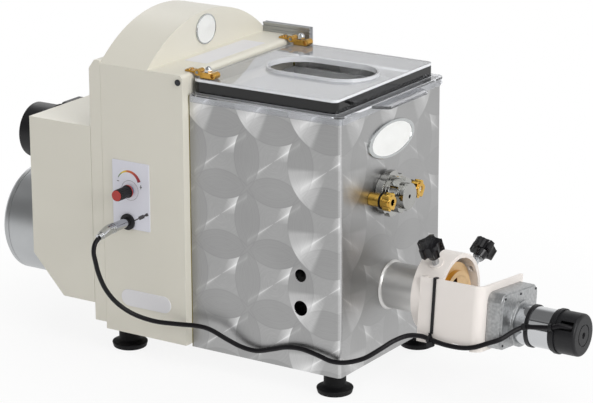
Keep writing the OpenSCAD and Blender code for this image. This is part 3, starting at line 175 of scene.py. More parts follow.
# drawn aluminium extrusion, anodised: a soft grey with fine lines along it
drawnAluminium = surface("anodisedAluminium", "b4b6b8", "a0a2a5", 1.0, (0.28, 0.40), 1.0, 0.006, stretch=(0.1, 2, 2))
# black moulded polyamide: slight sheen, fine spark-eroded grain
blackPlastic = surface("blackPolyamide", "141417", "0e0e11", 0.0, (0.38, 0.50), 0.9, 0.02,
                       extra={"Specular IOR Level": 0.35})
# glossy black phenolic of the star knobs: deep black with small bright lights
blackGloss = surface("blackPhenolic", "0e0c10", "08070a", 0.0, (0.16, 0.26), 2.0, 0.003,
                     extra={"Specular IOR Level": 0.35})
# black rubber of feet and seals: dull
blackRubber = surface("blackRubber", "0d0d0f", "080809", 0.0, (0.55, 0.70), 1.4, 0.03,
                      extra={"Specular IOR Level": 0.2})
# black PVC sheath of the cord: smooth, a soft gloss
cordSheath = surface("blackPvc", "100e12", "0b090d", 0.0, (0.36, 0.46), 1.2, 0.01,
                     extra={"Specular IOR Level": 0.22})
# red and green moulded plastic of caps and buttons: clean colour under a soft gloss
redPlastic = surface("redAbs", "b3362c", "a52c24", 0.0, (0.28, 0.38), 1.5, 0.006)
greenPlastic = surface("greenAbs", "2f8a46", "28793c", 0.0, (0.28, 0.38), 1.5, 0.006)
# white printed plate: a lacquered sheet, faintly bluish beside the ivory
plateWhite = surface("lacqueredPlate", "e2e2ea", "dcdce6", 0.0, (0.28, 0.36), 2.0, 0.002)
# olive foam strip between casing and column: dull, open-pored
oliveFoam = surface("oliveFoam", "8d8246", "776c36", 0.0, (0.6, 0.75), 1.0, 0.03)
# blue resin of a potentiometer's body: matt and even
blueResin = surface("blueResin", "4a6a86", "3c5a76", 0.0, (0.4, 0.5), 1.2, 0.01)
# blackened steel of small screws: dark grey with a dull shine
darkSteel = surface("blackenedSteel", "4a4b4e", "36373a", 1.0, (0.30, 0.42), 0.8, 0.003)
# white polyester film of the bare labels: smooth and matt
labelFilm = surface("labelFilm", "e6e5e7", "e0dfe2", 0.0, (0.46, 0.52), 8.0, 0.0)
print("plain materials made")

# The casing's finish: rows of discs brushed with a rotating pad, each lapping over its neighbours, with painted
# highlights on them (a bright streak and a thin bright line on each disc, and a bright corner) where the metal would
# mirror the lamps. Sizes and places are in mm, streak is in degrees, and widths of marks are shares of a disc's
# spacing.
swirlLook = {
    "pitch": 78.0, "radius": 57.5, "sideX": 80.9, "frontY": -39.0, "rowZ": 209.7, "lastColumn": 0.5, "lastRow": 1.5,
    "sideFacing": 0.7, "cornerFacing": 0.35, "streak": 36.0, "fan": 0.93, "backFan": 0.90, "fanEdge": (0.075, 0.01),
    "core": 50.0, "coreShare": 0.5, "centre": 0.02, "fade": (0.02, 0.5), "glintPower": 1500.0, "glintHaloPower": 160.0,
    "haloShare": 0.55, "glintOnTop": 0.65, "glintLapped": 0.35, "lapSoft": 0.005, "edgeWidth": 0.011,
    "line": 1.8, "lineTurn": 1.2, "lineShift": 7.0,
    "lapLines": 0.6, "cloud": 120.0, "front": 0.5, "lap": 0.085, "glow": 0.50, "glintLine": 0.22, "edge": 0.04,
    "grain": 0.20, "clouding": 0.24, "level": 0.36, "corner": 0.16, "dark": "828282", "middle": "ababab",
    "bright": "f2f2f2", "grainSpan": (-0.2, 0.2), "rough": (0.33, 0.45), "relief": 0.006}


def swirlSteel():
    # stainless sheet with circular brushing: even grey, a painted highlight on each disc (a bow-tie of bright metal and
    # a thin bright line across it, where the brushed metal would mirror the lamps), and darker lenses where two discs
    # lap
    look = swirlLook
    material, tree, add, coords = startMaterial("swirlBrushedStainlessPaintedSheen")
    at = add("SeparateXYZ", coords).node.outputs
    normal = add("SeparateXYZ", add("NewGeometry", pick="True Normal")).node.outputs
    faceX, faceY = add("ABSOLUTE", normal["X"]), add("ABSOLUTE", normal["Y"])
    onSide = add("GREATER_THAN", faceY, look["sideFacing"])
    pitch, reach, lines = look["pitch"] * mm, look["radius"] / look["pitch"], look["pitch"] / look["line"]
    alongX = add("DIVIDE", add("SUBTRACT", at["X"], look["sideX"] * mm), pitch)
    alongY = add("DIVIDE", add("SUBTRACT", look["frontY"] * mm, at["Y"]), pitch)
    across = add("Mix", onSide, A_Float=alongY, B_Float=alongX)
    upward = add("DIVIDE", add("SUBTRACT", at["Z"], look["rowZ"] * mm), pitch)
    cellX, cellZ = add("ROUND", across), add("ROUND", upward)
    dx, dz = add("SUBTRACT", across, cellX), add("SUBTRACT", upward, cellZ)
    stepX, stepZ = add("SIGN", dx), add("SIGN", dz)
    streak = math.radians(look["streak"])

    def disc(x, z):  # distance from a disc's centre, and how far a direction agrees with the streak
        far = add("SQRT", add("ADD", add("MULTIPLY", x, x), add("MULTIPLY", z, z)))
        lean = add("ADD", add("MULTIPLY", x, math.cos(streak)), add("MULTIPLY", z, math.sin(streak)))
        return far, add("DIVIDE", lean, add("MAXIMUM", far, look["centre"]))

    def beam(far, agree, width):  # painted highlight: a bright sector on the side where the direction agrees
        fan = add("MapRange", agree, width - look["fanEdge"][0], width + look["fanEdge"][1], **smooth)
        core = add("POWER", add("MAXIMUM", agree, 0.0), look["core"])
        core = add("ADD", add("MULTIPLY", core, look["coreShare"]), 1.0 - look["coreShare"])
        return add("MULTIPLY", add("MULTIPLY", fan, core), add("MapRange", far, *look["fade"], **smooth))

    far, agree = disc(dx, dz)
    besideX, aboveZ = add("SUBTRACT", dx, stepX), add("SUBTRACT", dz, stepZ)
    farSide, agreeSide = disc(besideX, dz)
    farUp, agreeUp = disc(dx, aboveZ)
    farOver, agreeOver = disc(besideX, aboveZ)
    inSide, inUp, inOver = (add("MapRange", value, reach + look["lapSoft"], reach - look["lapSoft"], **smooth)
                            for value in (farSide, farUp, farOver))
    lapped = add("MAXIMUM", add("MAXIMUM", inSide, inUp), inOver)
    single = add("SUBTRACT", 1.0, lapped)
    # a fine dark line where the pad's edge left each disc
    edge = add("MAXIMUM", *(add("COMPARE", value, reach, look["edgeWidth"]) for value in (farSide, farUp)))

    # painted highlight: on the last column and the top row the streak is painted on both sides of the disc, over the
    # neighbours' discs too
    columnBeside, rowAbove = add("ADD", cellX, stepX), add("ADD", cellZ, stepZ)
    ownGlow = add("MULTIPLY", beam(far, agree, look["fan"]), single)
    backs = []
    for farHere, agreeHere, inside, column, row in (
            (far, agree, 1.0, cellX, cellZ), (farSide, agreeSide, inSide, columnBeside, cellZ),
            (farUp, agreeUp, inUp, cellX, rowAbove), (farOver, agreeOver, inOver, columnBeside, rowAbove)):
        back = beam(farHere, add("MULTIPLY", agreeHere, -1.0), look["backFan"])
        showsFarStreak = add("MAXIMUM", add("GREATER_THAN", column, look["lastColumn"]),
                   add("GREATER_THAN", row, look["lastRow"]))
        backs.append(add("MULTIPLY", add("MULTIPLY", back, inside), showsFarStreak))
    backGlow = add("MAXIMUM", add("MAXIMUM", *backs[:2]), add("MAXIMUM", *backs[2:]))
    # painted highlight: a thin bright line through each disc along the streak, with a soft halo, fainter where discs
    # lap
    straight = add("ABSOLUTE", agree)
    halo = add("MULTIPLY", add("POWER", straight, look["glintHaloPower"]), look["haloShare"])
    sharp = add("ADD", add("POWER", straight, look["glintPower"]), halo)
    glintLine = add("MULTIPLY", sharp, add("ADD", add("MULTIPLY", single, look["glintOnTop"]), look["glintLapped"]))

    # brushing rings: noise drawn out round each disc, drawn as coarse as it needs to show
    ownRing = add("CombineXYZ", add("MULTIPLY", far, lines), add("MULTIPLY", agree, look["lineTurn"]),
                  add("ADD", cellX, add("MULTIPLY", cellZ, look["lineShift"])))
    lapRing = add("MULTIPLY", add("Mix", inUp, A_Float=farSide, B_Float=farUp), lines)
    ownLines = add("TexNoise", Vector=ownRing, Scale=1.0, Detail=3.0)
    lapLines = add("TexNoise", W=lapRing, Scale=1.0, Detail=3.0, noise_dimensions="1D")
    lapShare = add("MULTIPLY", lapped, look["lapLines"])
    grain = add("SUBTRACT", add("Mix", lapShare, A_Float=ownLines, B_Float=lapLines), 0.5)
    cloud = add("TexNoise", Vector=coords, Scale=1000 / look["cloud"], Detail=3.0)

    # the marks, painted highlights among them, are half as strong on the front face
    strength = add("Mix", onSide, A_Float=look["front"], B_Float=1.0)
    shade = add("ADD", add("MULTIPLY", lapped, look["lap"]), add("MULTIPLY", edge, look["edge"]))
    # painted highlights are added, and lap and pad-edge marks are taken away
    marks = add("ADD", add("MULTIPLY", add("MAXIMUM", ownGlow, backGlow), look["glow"]),
                add("SUBTRACT", add("MULTIPLY", glintLine, look["glintLine"]), shade))
    level = add("ADD", add("MULTIPLY", marks, strength), add("MULTIPLY", grain, look["grain"]))
    level = add("ADD", level, add("MULTIPLY", add("SUBTRACT", cloud, 0.5), look["clouding"]))
    # painted highlight: the rounded corner is made brighter, as it would mirror the bright room
    corner = add("MULTIPLY", *(add("GREATER_THAN", face, look["cornerFacing"]) for face in (faceX, faceY)))
    level = add("ADD", add("ADD", level, look["level"]), add("MULTIPLY", corner, look["corner"]))
    tone = add("ValToRGB", level)
    stops = tone.node.color_ramp.elements
    stops[0].color = srgb(look["dark"])
    stops[1].color = srgb(look["bright"])
    stops.new(look["level"]).color = srgb(look["middle"])
    return finishMaterial(material, tree, {
        "Base Color": tone, "Roughness": add("MapRange", grain, *look["grainSpan"], *look["rough"]),
        "Normal": add("Bump", Height=grain, Strength=1.0, Distance=look["relief"] * mm), "Metallic": 1.0})


# the lid's material: its walls are painted dark, a painted shade, between low and high, in mm
lidLook = {"low": 357.0, "high": 371.4, "soft": 0.5, "steep": 0.35, "level": (0.955, 0.985), "slanted": (0.10, 0.18),
           "flow": 45.0, "rough": (0.015, 0.05), "relief": 0.02, "clear": 0.95, "milky": 0.17, "edgeHighlight": 0.8,
           "wallClear": 0.3, "specular": 0.5, "wallSpecular": 0.42, "ior": 1.585,
           "clouds": ("f0f2f6", "fafbfe"), "wall": "0b0c0e"}


def clearPolycarbonate():
    # moulded polycarbonate: clear and glossy, with faint flow marks; the raised box's steep walls are painted dark, a
    # painted shade for the dark seen where the eye looks along the sheet
    look = lidLook
    material, tree, add, coords = startMaterial("clearPolycarbonate")
    flow = add("TexNoise", Vector=coords, Scale=1000 / look["flow"], Detail=2.0)
    height = add("SeparateXYZ", coords).node.outputs["Z"]
    normal = add("SeparateXYZ", add("NewGeometry", pick="True Normal")).node.outputs
    upright = add("ABSOLUTE", normal["Z"])
    steep = add("LESS_THAN", upright, look["steep"])
    low, high, aboveHigh = look["low"] * mm, look["high"] * mm, (look["high"] + look["soft"]) * mm
    band = add("MULTIPLY", add("MapRange", height, low, low + mm, **smooth),
               add("MapRange", height, aboveHigh, high, **smooth))
    # painted shade: steep faces between low and high take the dark wall colour and are less clear
    wall = add("MULTIPLY", steep, band)
    tint = add("Mix", flow, A_Color=srgb(look["clouds"][0]), B_Color=srgb(look["clouds"][1]), **colours)
    # painted highlight: the broken edges and a band above the walls are made less clear, so that the pale tint shows
    # there as light lines; the top is milky from fine scratches, the rest is clear
    level = add("MapRange", upright, *look["level"], **smooth)
    slanted = add("MULTIPLY", add("MapRange", upright, *look["slanted"], **smooth), add("SUBTRACT", 1.0, level))
    top = add("MULTIPLY", level, add("GREATER_THAN", height, high))
    brow = add("MULTIPLY", steep, add("MapRange", height, high, aboveHigh, **smooth))
    clear = add("SUBTRACT", look["clear"], add("MULTIPLY", top, look["milky"]))
    clear = add("SUBTRACT", clear, add("MULTIPLY", add("MAXIMUM", slanted, brow), look["edgeHighlight"]))
    clear = add("SUBTRACT", clear, add("MULTIPLY", wall, look["wallClear"]))
    return finishMaterial(material, tree, {
        "Base Color": add("Mix", wall, A_Color=tint, B_Color=srgb(look["wall"]), **colours),
        "Roughness": add("MapRange", flow, *noiseSpan, *look["rough"]),
        "Normal": add("Bump", Height=flow, Strength=1.0, Distance=look["relief"] * mm),
        "Specular IOR Level": add("SUBTRACT", look["specular"], add("MULTIPLY", wall, look["wallSpecular"])),
        "Transmission Weight": clear, "IOR": look["ior"]})


swirl = swirlSteel()
polycarbonate = clearPolycarbonate()
print("swirl and clear materials made")


# how edges are broken, in mm and degrees: points that become one, corners that are flat, and edges that are cut
edgeWork = {"merge": 0.004, "flat": 0.6, "above": 32.0, "segments": 2, "sides": 4, "sharp": 34.0}


def finishMesh(mesh):
    for face in mesh.polygons:
        face.use_smooth = True
    mesh.set_sharp_from_angle(angle=math.radians(edgeWork["sharp"]))


def addPiece(name, mesh, material, body, replaces=()):
    piece = addObject(name, mesh)
    mesh.materials.clear()
    mesh.materials.append(material)
    flats = piece.modifiers.new("flatFaces", "WEIGHTED_NORMAL")  # keeps broad faces flat up to their broken edges
    flats.keep_sharp = True
    flats.weight = 100
    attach(piece, body)
    if replaces:
        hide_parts(*replaces)
    return piece


def nodeBody(node):
    return next(body for body, nodes in frame["record"]["behaviour"]["bodies"].items() if node in nodes)


# the cast ring that clamps the extrusion tube: distances from its middle and places along the tube, in mm
clampRing = {"middle": Vector((0.0, 0.0, 91.7)), "rear": 58.1, "front": 104.4, "bore": 42.5, "outer": 60.0,
             "lipNear": 1.0, "widen": 5.5, "squeezeFrom": 93.0, "back": 7.0, "screwLeans": (30.0, -60.0),
             "bossTop": 59.0, "bossNear": 0.15, "padTop": 53.2, "tip": 50.0}
socketRing = {"face": -137.5}
knifeSquat = {"root": 87.2, "keep": 0.7}


def fromRing(p):
    return Vector((0.0, p.y, p.z)) - clampRing["middle"]


def openClampRing(p):  # a mouth that stands further back and widens to the front, and low pads under the star knobs
    away = fromRing(p)
    for lean in clampRing["screwLeans"]:
        outward = Vector((0.0, -math.sin(math.radians(lean)), math.cos(math.radians(lean))))
        if abs(away.dot(outward) - clampRing["bossTop"]) < clampRing["bossNear"]:
            p = p - outward * (clampRing["bossTop"] - clampRing["padTop"])
    if p.x > clampRing["front"] + clampRing["lipNear"] or away.length > clampRing["outer"]:
        return p
    if away.length < clampRing["bore"]:
        share = (p.x - clampRing["rear"]) / (clampRing["front"] - clampRing["rear"])
        p = p + away.normalized() * clampRing["widen"] * share
    squeeze = max((p.x - clampRing["squeezeFrom"]) / (clampRing["front"] - clampRing["squeezeFrom"]), 0.0)
    return p - Vector((clampRing["back"] * squeeze, 0.0, 0.0))


def shortScrew(p):  # the star knobs' screws end inside the ring's wall
    away = fromRing(p)
    return p + away.normalized() * max(clampRing["tip"] - away.length, 0.0)


def lowBezel(p):  # the socket's black ring stands out of its plate half as far, and leaves the plug in view
    return Vector((p.x, max(p.y, socketRing["face"]), p.z))


def flatKnife(p):  # the knife's hub and blades are shorter along the shaft
    return Vector((knifeSquat["root"] + (p.x - knifeSquat["root"]) * knifeSquat["keep"], p.y, p.z))


reshaped = {"cutter_bracket": openClampRing, "cutter_socket": lowBezel, "knife_blade": flatKnife,
            "star_knob_left": shortScrew, "star_knob_right": shortScrew}


def refined(node, name, material, edge):  # a node's own solid with its edges broken, and reshaped where it is listed
    mesh = frame["nodes"][node].data.copy()
    bm = bmesh.new()
    bm.from_mesh(mesh)
    bmesh.ops.remove_doubles(bm, verts=bm.verts, dist=edgeWork["merge"] * mm)
    if node in reshaped:
        for vert in bm.verts:
            vert.co = (reshaped[node](vert.co / mm - tankFront) + tankFront) * mm
    bmesh.ops.dissolve_limit(bm, angle_limit=math.radians(edgeWork["flat"]), verts=bm.verts, edges=bm.edges)
    above = math.radians(edgeWork["above"])
    creases = [e for e in bm.edges if len(e.link_faces) == 2 and e.calc_face_angle(0) > above]
    bmesh.ops.bevel(bm, geom=creases, offset=edge * mm, offset_type="OFFSET", affect="EDGES",
                    segments=edgeWork["segments"], profile=0.5, clamp_overlap=True, material=-1)
    bmesh.ops.triangulate(bm, faces=[f for f in bm.faces if len(f.verts) > edgeWork["sides"]])
    bm.to_mesh(mesh)
    bm.free()
    mesh.name = name
    finishMesh(mesh)
    return addPiece(name, mesh, material, nodeBody(node), (node,))


refinedPieces = {  # node: name of the dressed piece, its material and the size of its broken edges in mm
    "gear_housing": ("columnSheets", ivoryEnamel, 1.0), "rear_cover": ("rearPan", ivoryEnamel, 0.6),
    "motor_box": ("motorBoxSheets", ivoryEnamel, 0.6), "tank_casing": ("tankCasing", swirl, 0.4),
    "kneading_tank": ("troughSheets", troughSteel, 0.4), "auger_barrel": ("extrusionTube", tubeSteel, 0.3),
    "shaft_hub": ("shaftHub", hubSteel, 0.4), "hub_sleeves": ("studSleeves", turnedBrass, 0.3),
    "feet": ("feetRubber", blackRubber, 0.3), "cover_screws": ("sideScrews", darkSteel, 0.2),
    "hinge_leaves": ("ledgeLeaves", brassStrip, 0.12), "lid_switch_bar": ("switchBar", drawnAluminium, 0.25),
    "motor_frame": ("motorFrame", turnedAluminium, 0.6), "motor_end_cover": ("motorEnd", turnedAluminium, 0.5),
    "ring_nut": ("ringNut", turnedBrass, 0.4), "extrusion_die": ("bronzeDie", turnedBrass, 0.3),
    "cutter_bracket": ("cutterBracket", bracketPowder, 0.9), "cutter_gearbox": ("gearHead", castZinc, 0.8),
    "cutter_motor": ("motorCan", chromePlate, 0.4), "cutter_motor_cap": ("motorCap", blackPlastic, 0.4),
    "selector_shroud": ("selectorShroud", blackPlastic, 0.5), "button_hood": ("buttonHood", blackPlastic, 0.5),
    "cutter_socket": ("chassisSocket", blackPlastic, 0.4), "cutter_plug": ("cordPlug", chromePlate, 0.25),
    "cable_gland": ("leadGland", blackPlastic, 0.4), "lid": ("clearLid", polycarbonate, 1.2),
    "lid_hinge_leaves": ("lidLeaves", brassStrip, 0.2), "lid_bolts": ("lidBolts", chromePlate, 0.2),
    "speed_knob": ("speedKnob", blackPlastic, 0.2), "speed_knob_cap": ("speedKnobCap", redPlastic, 0.25),
    "selector_knob": ("selectorKnob", blackPlastic, 0.6), "start_button": ("startButton", greenPlastic, 0.5),
    "stop_button": ("stopButton", redPlastic, 0.5), "star_knob_left": ("starKnobLeft", blackGloss, 0.9),
    "star_knob_right": ("starKnobRight", blackGloss, 0.9), "brass_knob_left": ("brassKnobLeft", turnedBrass, 0.5),
    "brass_knob_right": ("brassKnobRight", turnedBrass, 0.5), "cable_ties": ("cordTies", blackPlastic, 0.15),
    "control_panel": ("controlPlate", plateWhite, 0.2), "knife_blade": ("knifeBlade", satinSteel, 0.1),
}
dressed = {node: refined(node, *row) for node, row in refinedPieces.items()}
print("edges broken on", len(dressed), "pieces")

plainNodes = {  # material: the solids that stay as they are, mostly inside
    satinSteel: ("base_plate", "auger"), troughSteel: ("kneading_shaft", "kneading_paddles"),
    groundSteel: ("hinge_pins", "gear_plate", "shaft_bearings", "kneading_gear", "auger_gear", "layshaft",
                  "layshaft_gears", "motor_rotor", "motor_pinion", "knife_shaft", "speed_knob_shaft"),
    oliveFoam: ("casing_gasket",), blueResin: ("speed_potentiometer",), blackRubber: ("shaft_seals", "tube_seal"),
    cordSheath: ("cutter_cord",),
}
for material, nodes in plainNodes.items():
    for node in nodes:
        mesh = frame["nodes"][node].data
        mesh.materials.clear()
        mesh.materials.append(material)
print("inner pieces finished")

# bare plates, print and small fittings are made lying flat, then stood on the face they belong to
facings = {"front": Matrix(((0, 0, 1), (1, 0, 0), (0, 1, 0))), "side": Matrix(((1, 0, 0), (0, 0, -1), (0, 1, 0))),
           "top": Matrix.Identity(3)}
smallBevel = {"affect": "EDGES", "profile": 0.5, "material": -1}
weld = 0.001 * mm  # points closer than this become one


def seat(bm, spot, facing):  # stands a shape on its spot, looking to the front, the side or the top
    stand = Matrix.Translation(place(*spot)) @ facings[facing].to_4x4()
    bmesh.ops.transform(bm, matrix=stand, verts=bm.verts)


def meshFrom(bm, name):
    bmesh.ops.recalc_face_normals(bm, faces=bm.faces)
    mesh = bpy.data.meshes.new(name)
    bm.to_mesh(mesh)
    bm.free()
    finishMesh(mesh)
    return mesh


def join(bm, part):  # moves a finished part into a larger one
    mesh = bpy.data.meshes.new("part")
    part.to_mesh(mesh)
    part.free()
    bm.from_mesh(mesh)
    bpy.data.meshes.remove(mesh)


def topFaces(bm):
    level = max(v.co.z for v in bm.verts) - 0.0001 * mm
    return [f for f in bm.faces if all(v.co.z > level for v in f.verts)]


def rimOf(faces):
    return [e for f in faces for e in f.edges]


def turnBy(bm, verts, degrees, axis):
    bmesh.ops.rotate(bm, cent=(0, 0, 0), matrix=Matrix.Rotation(math.radians(degrees), 3, axis), verts=verts)


def thicken(bm, thick):
    made = bmesh.ops.extrude_face_region(bm, geom=bm.faces[:])
    raised = [g for g in made["geom"] if isinstance(g, bmesh.types.BMVert)]
    bmesh.ops.translate(bm, vec=(0, 0, thick * mm), verts=raised)


def raiseSheet(bm, halfX, halfY, corner, thick, steps=8):  # a rounded rectangle with its base at height nought
    outline = []
    for quarter, (sideX, sideY) in enumerate(((1, 1), (-1, 1), (-1, -1), (1, -1))):
        for step in range(steps + 1):
            turn = math.radians(90 * quarter + 90 * step / steps)
            outline.append(bm.verts.new(((sideX * (halfX - corner) + corner * math.cos(turn)) * mm,
                                         (sideY * (halfY - corner) + corner * math.sin(turn)) * mm, 0)))
    bm.faces.new(outline)
    thicken(bm, thick)


# bare oval plates under resin: centre, half axes, thickness, rim and swell in mm
badges = {"frontOval": {"spot": (0.1, -3.5, 277.5), "half": (54.0, 23.0), "thick": 2.6, "rim": 3.2, "rise": 1.6},
          "humpOval": {"spot": (-272.9, -5.8, 382.0), "half": (21.5, 19.6), "thick": 1.8, "rim": 1.7, "rise": 1.0}}
badgeForm = {"segments": 72, "round": 0.35, "land": 0.6, "groove": 0.3, "drop": 0.5, "rings": 6, "crown": 0.9,
             "white": ("e9eae8", "f1f2f0"), "silver": "b9bcbc", "rimEdge": (0.985, 1.005), "metal": 0.9,
             "cloud": 25.0, "rough": (0.10, 0.16)}


def badgeEnamel(name, size):
    # pressed plate under clear resin: a plain white field, and a bare satin silver rim where the height drops
    form = badgeForm
    material, tree, add, coords = startMaterial(name)
    centred = add("Mapping", Vector=coords, Location=tuple(-v for v in place(*size["spot"])))
    at = add("SeparateXYZ", centred).node.outputs
    a, b = size["half"]
    u = add("DIVIDE", at["Y"], (a - size["rim"] * a / b) * mm)
    v = add("DIVIDE", at["Z"], (b - size["rim"]) * mm)
    away = add("SQRT", add("ADD", add("MULTIPLY", u, u), add("MULTIPLY", v, v)))
    onRim = add("MapRange", away, *form["rimEdge"], **smooth)
    cloud = add("TexNoise", Vector=coords, Scale=1000 / form["cloud"], Detail=2.0)
    field = add("Mix", cloud, A_Color=srgb(form["white"][0]), B_Color=srgb(form["white"][1]), **colours)
    return finishMaterial(material, tree, {
        "Base Color": add("Mix", onRim, A_Color=field, B_Color=srgb(form["silver"]), **colours),
        "Roughness": add("MapRange", cloud, *noiseSpan, *form["rough"]),
        "Metallic": add("MULTIPLY", onRim, form["metal"])})


def makeBadge(name, size):  # a round slab with a groove inside its rim and a swollen face, then drawn to an oval
    form, rim, rings = badgeForm, size["rim"], badgeForm["rings"]
    bm = bmesh.new()
    bmesh.ops.create_circle(bm, cap_ends=True, segments=form["segments"], radius=size["half"][1] * mm)
    thicken(bm, size["thick"])
    bmesh.ops.bevel(bm, geom=rimOf(topFaces(bm)), offset=form["round"] * rim * mm, segments=3, **smallBevel)
    faces = topFaces(bm)
    bmesh.ops.inset_region(bm, faces=faces, thickness=form["land"] * rim * mm)
    bmesh.ops.inset_region(bm, faces=faces, thickness=form["groove"] * mm, depth=-form["drop"] * mm)
    step = form["crown"] * faces[0].verts[0].co.xy.length / rings
    for ring in range(rings):
        bmesh.ops.inset_region(bm, faces=faces, thickness=step, depth=size["rise"] * mm * (2 * ring + 1) / rings ** 2)
    bmesh.ops.scale(bm, vec=(size["half"][0] / size["half"][1], 1.0, 1.0), verts=bm.verts)
    seat(bm, size["spot"], "front")
    addPiece(name, meshFrom(bm, name), badgeEnamel(name + "Enamel", size), "root")


for name, size in badges.items():
    makeBadge(name, size)

bareLabels = {  # centre, half sides, corner radius and thickness in mm; round is a share of the thickness
    "sidePill": {"spot": (-281.0, -133.12, 53.0), "half": (38.5, 11.0), "corner": 10.9, "thick": 0.9,
                 "round": 0.45, "facing": "side"},
    "ledgeStrip": {"spot": (-248.0, 2.0, 354.02), "half": (17.0, 66.0), "corner": 1.5, "thick": 0.25,
                   "round": 0.45, "facing": "top"},
}


def makeLabel(name, size):
    bm = bmesh.new()
    raiseSheet(bm, *size["half"], size["corner"], size["thick"])
    cut = size["thick"] * size["round"] * mm
    bmesh.ops.bevel(bm, geom=rimOf(topFaces(bm)), offset=cut, segments=3, **smallBevel)
    seat(bm, size["spot"], size["facing"])
    addPiece(name, meshFrom(bm, name), labelFilm, "root")


for name, size in bareLabels.items():
    makeLabel(name, size)
print("bare plates made")

# The control plate's print: a crescent that grows from slow to fast round the knob, minus and plus, and a plug.
# Each bar is its middle from the knob, its half sides and its turn; sizes in mm and degrees.
dial = {"plane": -134.31, "knob": (-302.0, 196.0), "arcMiddle": (-303.0, 203.0), "radius": 19.0, "from": 156.0,
        "to": 20.0, "thin": 0.9, "thick": 5.0, "strip": 1.0, "ink": 0.05, "ring": 13.0, "ringLine": 0.35,
        "arcSteps": 28, "ringSteps": 72, "film": 1.0,
        "minus": [((-18.1, 9.9), (1.7, 0.45), 0)],
        "plus": [((17.1, 6.8), (1.6, 0.5), 0), ((17.1, 8.3), (0.5, 1.0), 0), ((17.1, 5.3), (0.5, 1.0), 0)],
        "plug": [((9.6, -36.6), (4.0, 0.7), 29), ((17.0, -32.6), (4.6, 2.3), 29), ((22.6, -29.4), (1.8, 1.2), 29),
                 ((25.6, -27.8), (2.0, 1.9), 29)],
        "rough": (0.30, 0.42), "dark": "4a4648",
        "scale": [(0.0, "3d5b3c"), (0.14, "6f8a3a"), (0.22, "e3cf3a"), (0.36, "e0b43a"), (0.42, "c9702f"),
                  (0.62, "c4512c"), (0.70, "b03a2c"), (0.88, "9b2430"), (1.0, "8a1c2c")]}


def crescentInk(name):
    # screen-printed ink that runs from green over yellow and orange to dark red along the crescent
    material, tree, add, coords = startMaterial(name)
    middle = place(dial["arcMiddle"][0], 0, dial["arcMiddle"][1])
    at = add("SeparateXYZ", add("Mapping", Vector=coords, Location=(-middle.x, 0, -middle.z))).node.outputs
    angle = add("ARCTAN2", at["Z"], at["X"])
    tone = add("ValToRGB", add("MapRange", angle, math.radians(dial["from"]), math.radians(dial["to"])))
    stops = tone.node.color_ramp.elements
    stops[0].color = srgb(dial["scale"][0][1])
    stops[1].color = srgb(dial["scale"][-1][1])
    for spot, colour in dial["scale"][1:-1]:
        stops.new(spot).color = srgb(colour)
    film = add("TexNoise", Vector=coords, Scale=1000 / dial["film"])
    return finishMaterial(material, tree, {
        "Base Color": tone, "Roughness": add("MapRange", film, 0.0, 1.0, *dial["rough"])})


def arcStrip(bm, radius, width, start, sweep, steps, fullTurn=False):  # a flat strip between two radii
    edge = [bm.verts.new(((radius - width) * mm, 0, 0)), bm.verts.new((radius * mm, 0, 0))]
    line = bm.edges.new(edge)
    turnBy(bm, edge, start, "Z")
    bmesh.ops.spin(bm, geom=edge + [line], cent=(0, 0, 0), axis=(0, 0, 1), angle=math.radians(sweep), steps=steps,
                   use_merge=fullTurn)


def flatBar(bm, middle, half, turn):  # a flat bar of print
    verts = bmesh.ops.create_grid(bm, x_segments=1, y_segments=1, size=1.0)["verts"]
    bmesh.ops.scale(bm, vec=(half[0] * mm, half[1] * mm, 1.0), verts=verts)
    turnBy(bm, verts, turn, "Z")
    bmesh.ops.translate(bm, vec=(middle[0] * mm, middle[1] * mm, 0), verts=verts)


def makeCrescent():
    bm = bmesh.new()
    sweep = dial["to"] - dial["from"]
    arcStrip(bm, dial["radius"], dial["strip"], dial["from"], sweep, dial["arcSteps"])
    for vert in bm.verts:  # the inner edge moves in, so that the strip grows from thin to thick
        share = (math.degrees(math.atan2(vert.co.y, vert.co.x)) - dial["from"]) / sweep
        if vert.co.length < (dial["radius"] - dial["strip"] / 2) * mm:
            inner = dial["radius"] - dial["thin"] - share * (dial["thick"] - dial["thin"])
            vert.co *= inner / (dial["radius"] - dial["strip"])
    thicken(bm, dial["ink"])
    seat(bm, (dial["arcMiddle"][0], dial["plane"], dial["arcMiddle"][1]), "side")
    addPiece("dialCrescent", meshFrom(bm, "dialCrescent"), crescentInk("crescentInk"), "root")


def makeDialMarks():
    # screen-printed ink: flat colour with a slightly uneven film
    darkInk = surface("darkInk", dial["dark"], dial["dark"], 0.0, dial["rough"], dial["film"], 0.004)
    bm = bmesh.new()
    arcStrip(bm, dial["ring"], dial["ringLine"], 0, 360, dial["ringSteps"], True)
    bmesh.ops.remove_doubles(bm, verts=bm.verts, dist=weld)
    for middle, half, turn in dial["minus"] + dial["plus"] + dial["plug"]:
        flatBar(bm, middle, half, turn)
    thicken(bm, dial["ink"])
    seat(bm, (dial["knob"][0], dial["plane"], dial["knob"][1]), "side")
    addPiece("dialMarks", meshFrom(bm, "dialMarks"), darkInk, "root")


makeCrescent()
makeDialMarks()

# second finishes on one piece: the speed knob's red base ring, the studs' black washers, the star knobs' studs, in mm
secondFinish = {"knobRing": -140.35, "washer": (15.35, 17.65), "stud": 63.2}


def paintWhere(node, material, test):  # gives the faces whose middle passes the test a second material
    mesh = dressed[node].data
    mesh.materials.append(material)
    for face in mesh.polygons:
        if test(face.center / mm - tankFront):
            face.material_index = len(mesh.materials) - 1


paintWhere("speed_knob", redPlastic, lambda c: c.y > secondFinish["knobRing"])
paintWhere("hub_sleeves", blackRubber, lambda c: secondFinish["washer"][0] < c.x < secondFinish["washer"][1])
for node in ("star_knob_left", "star_knob_right"):
    paintWhere(node, zincStud, lambda c: fromRing(c).length < secondFinish["stud"])

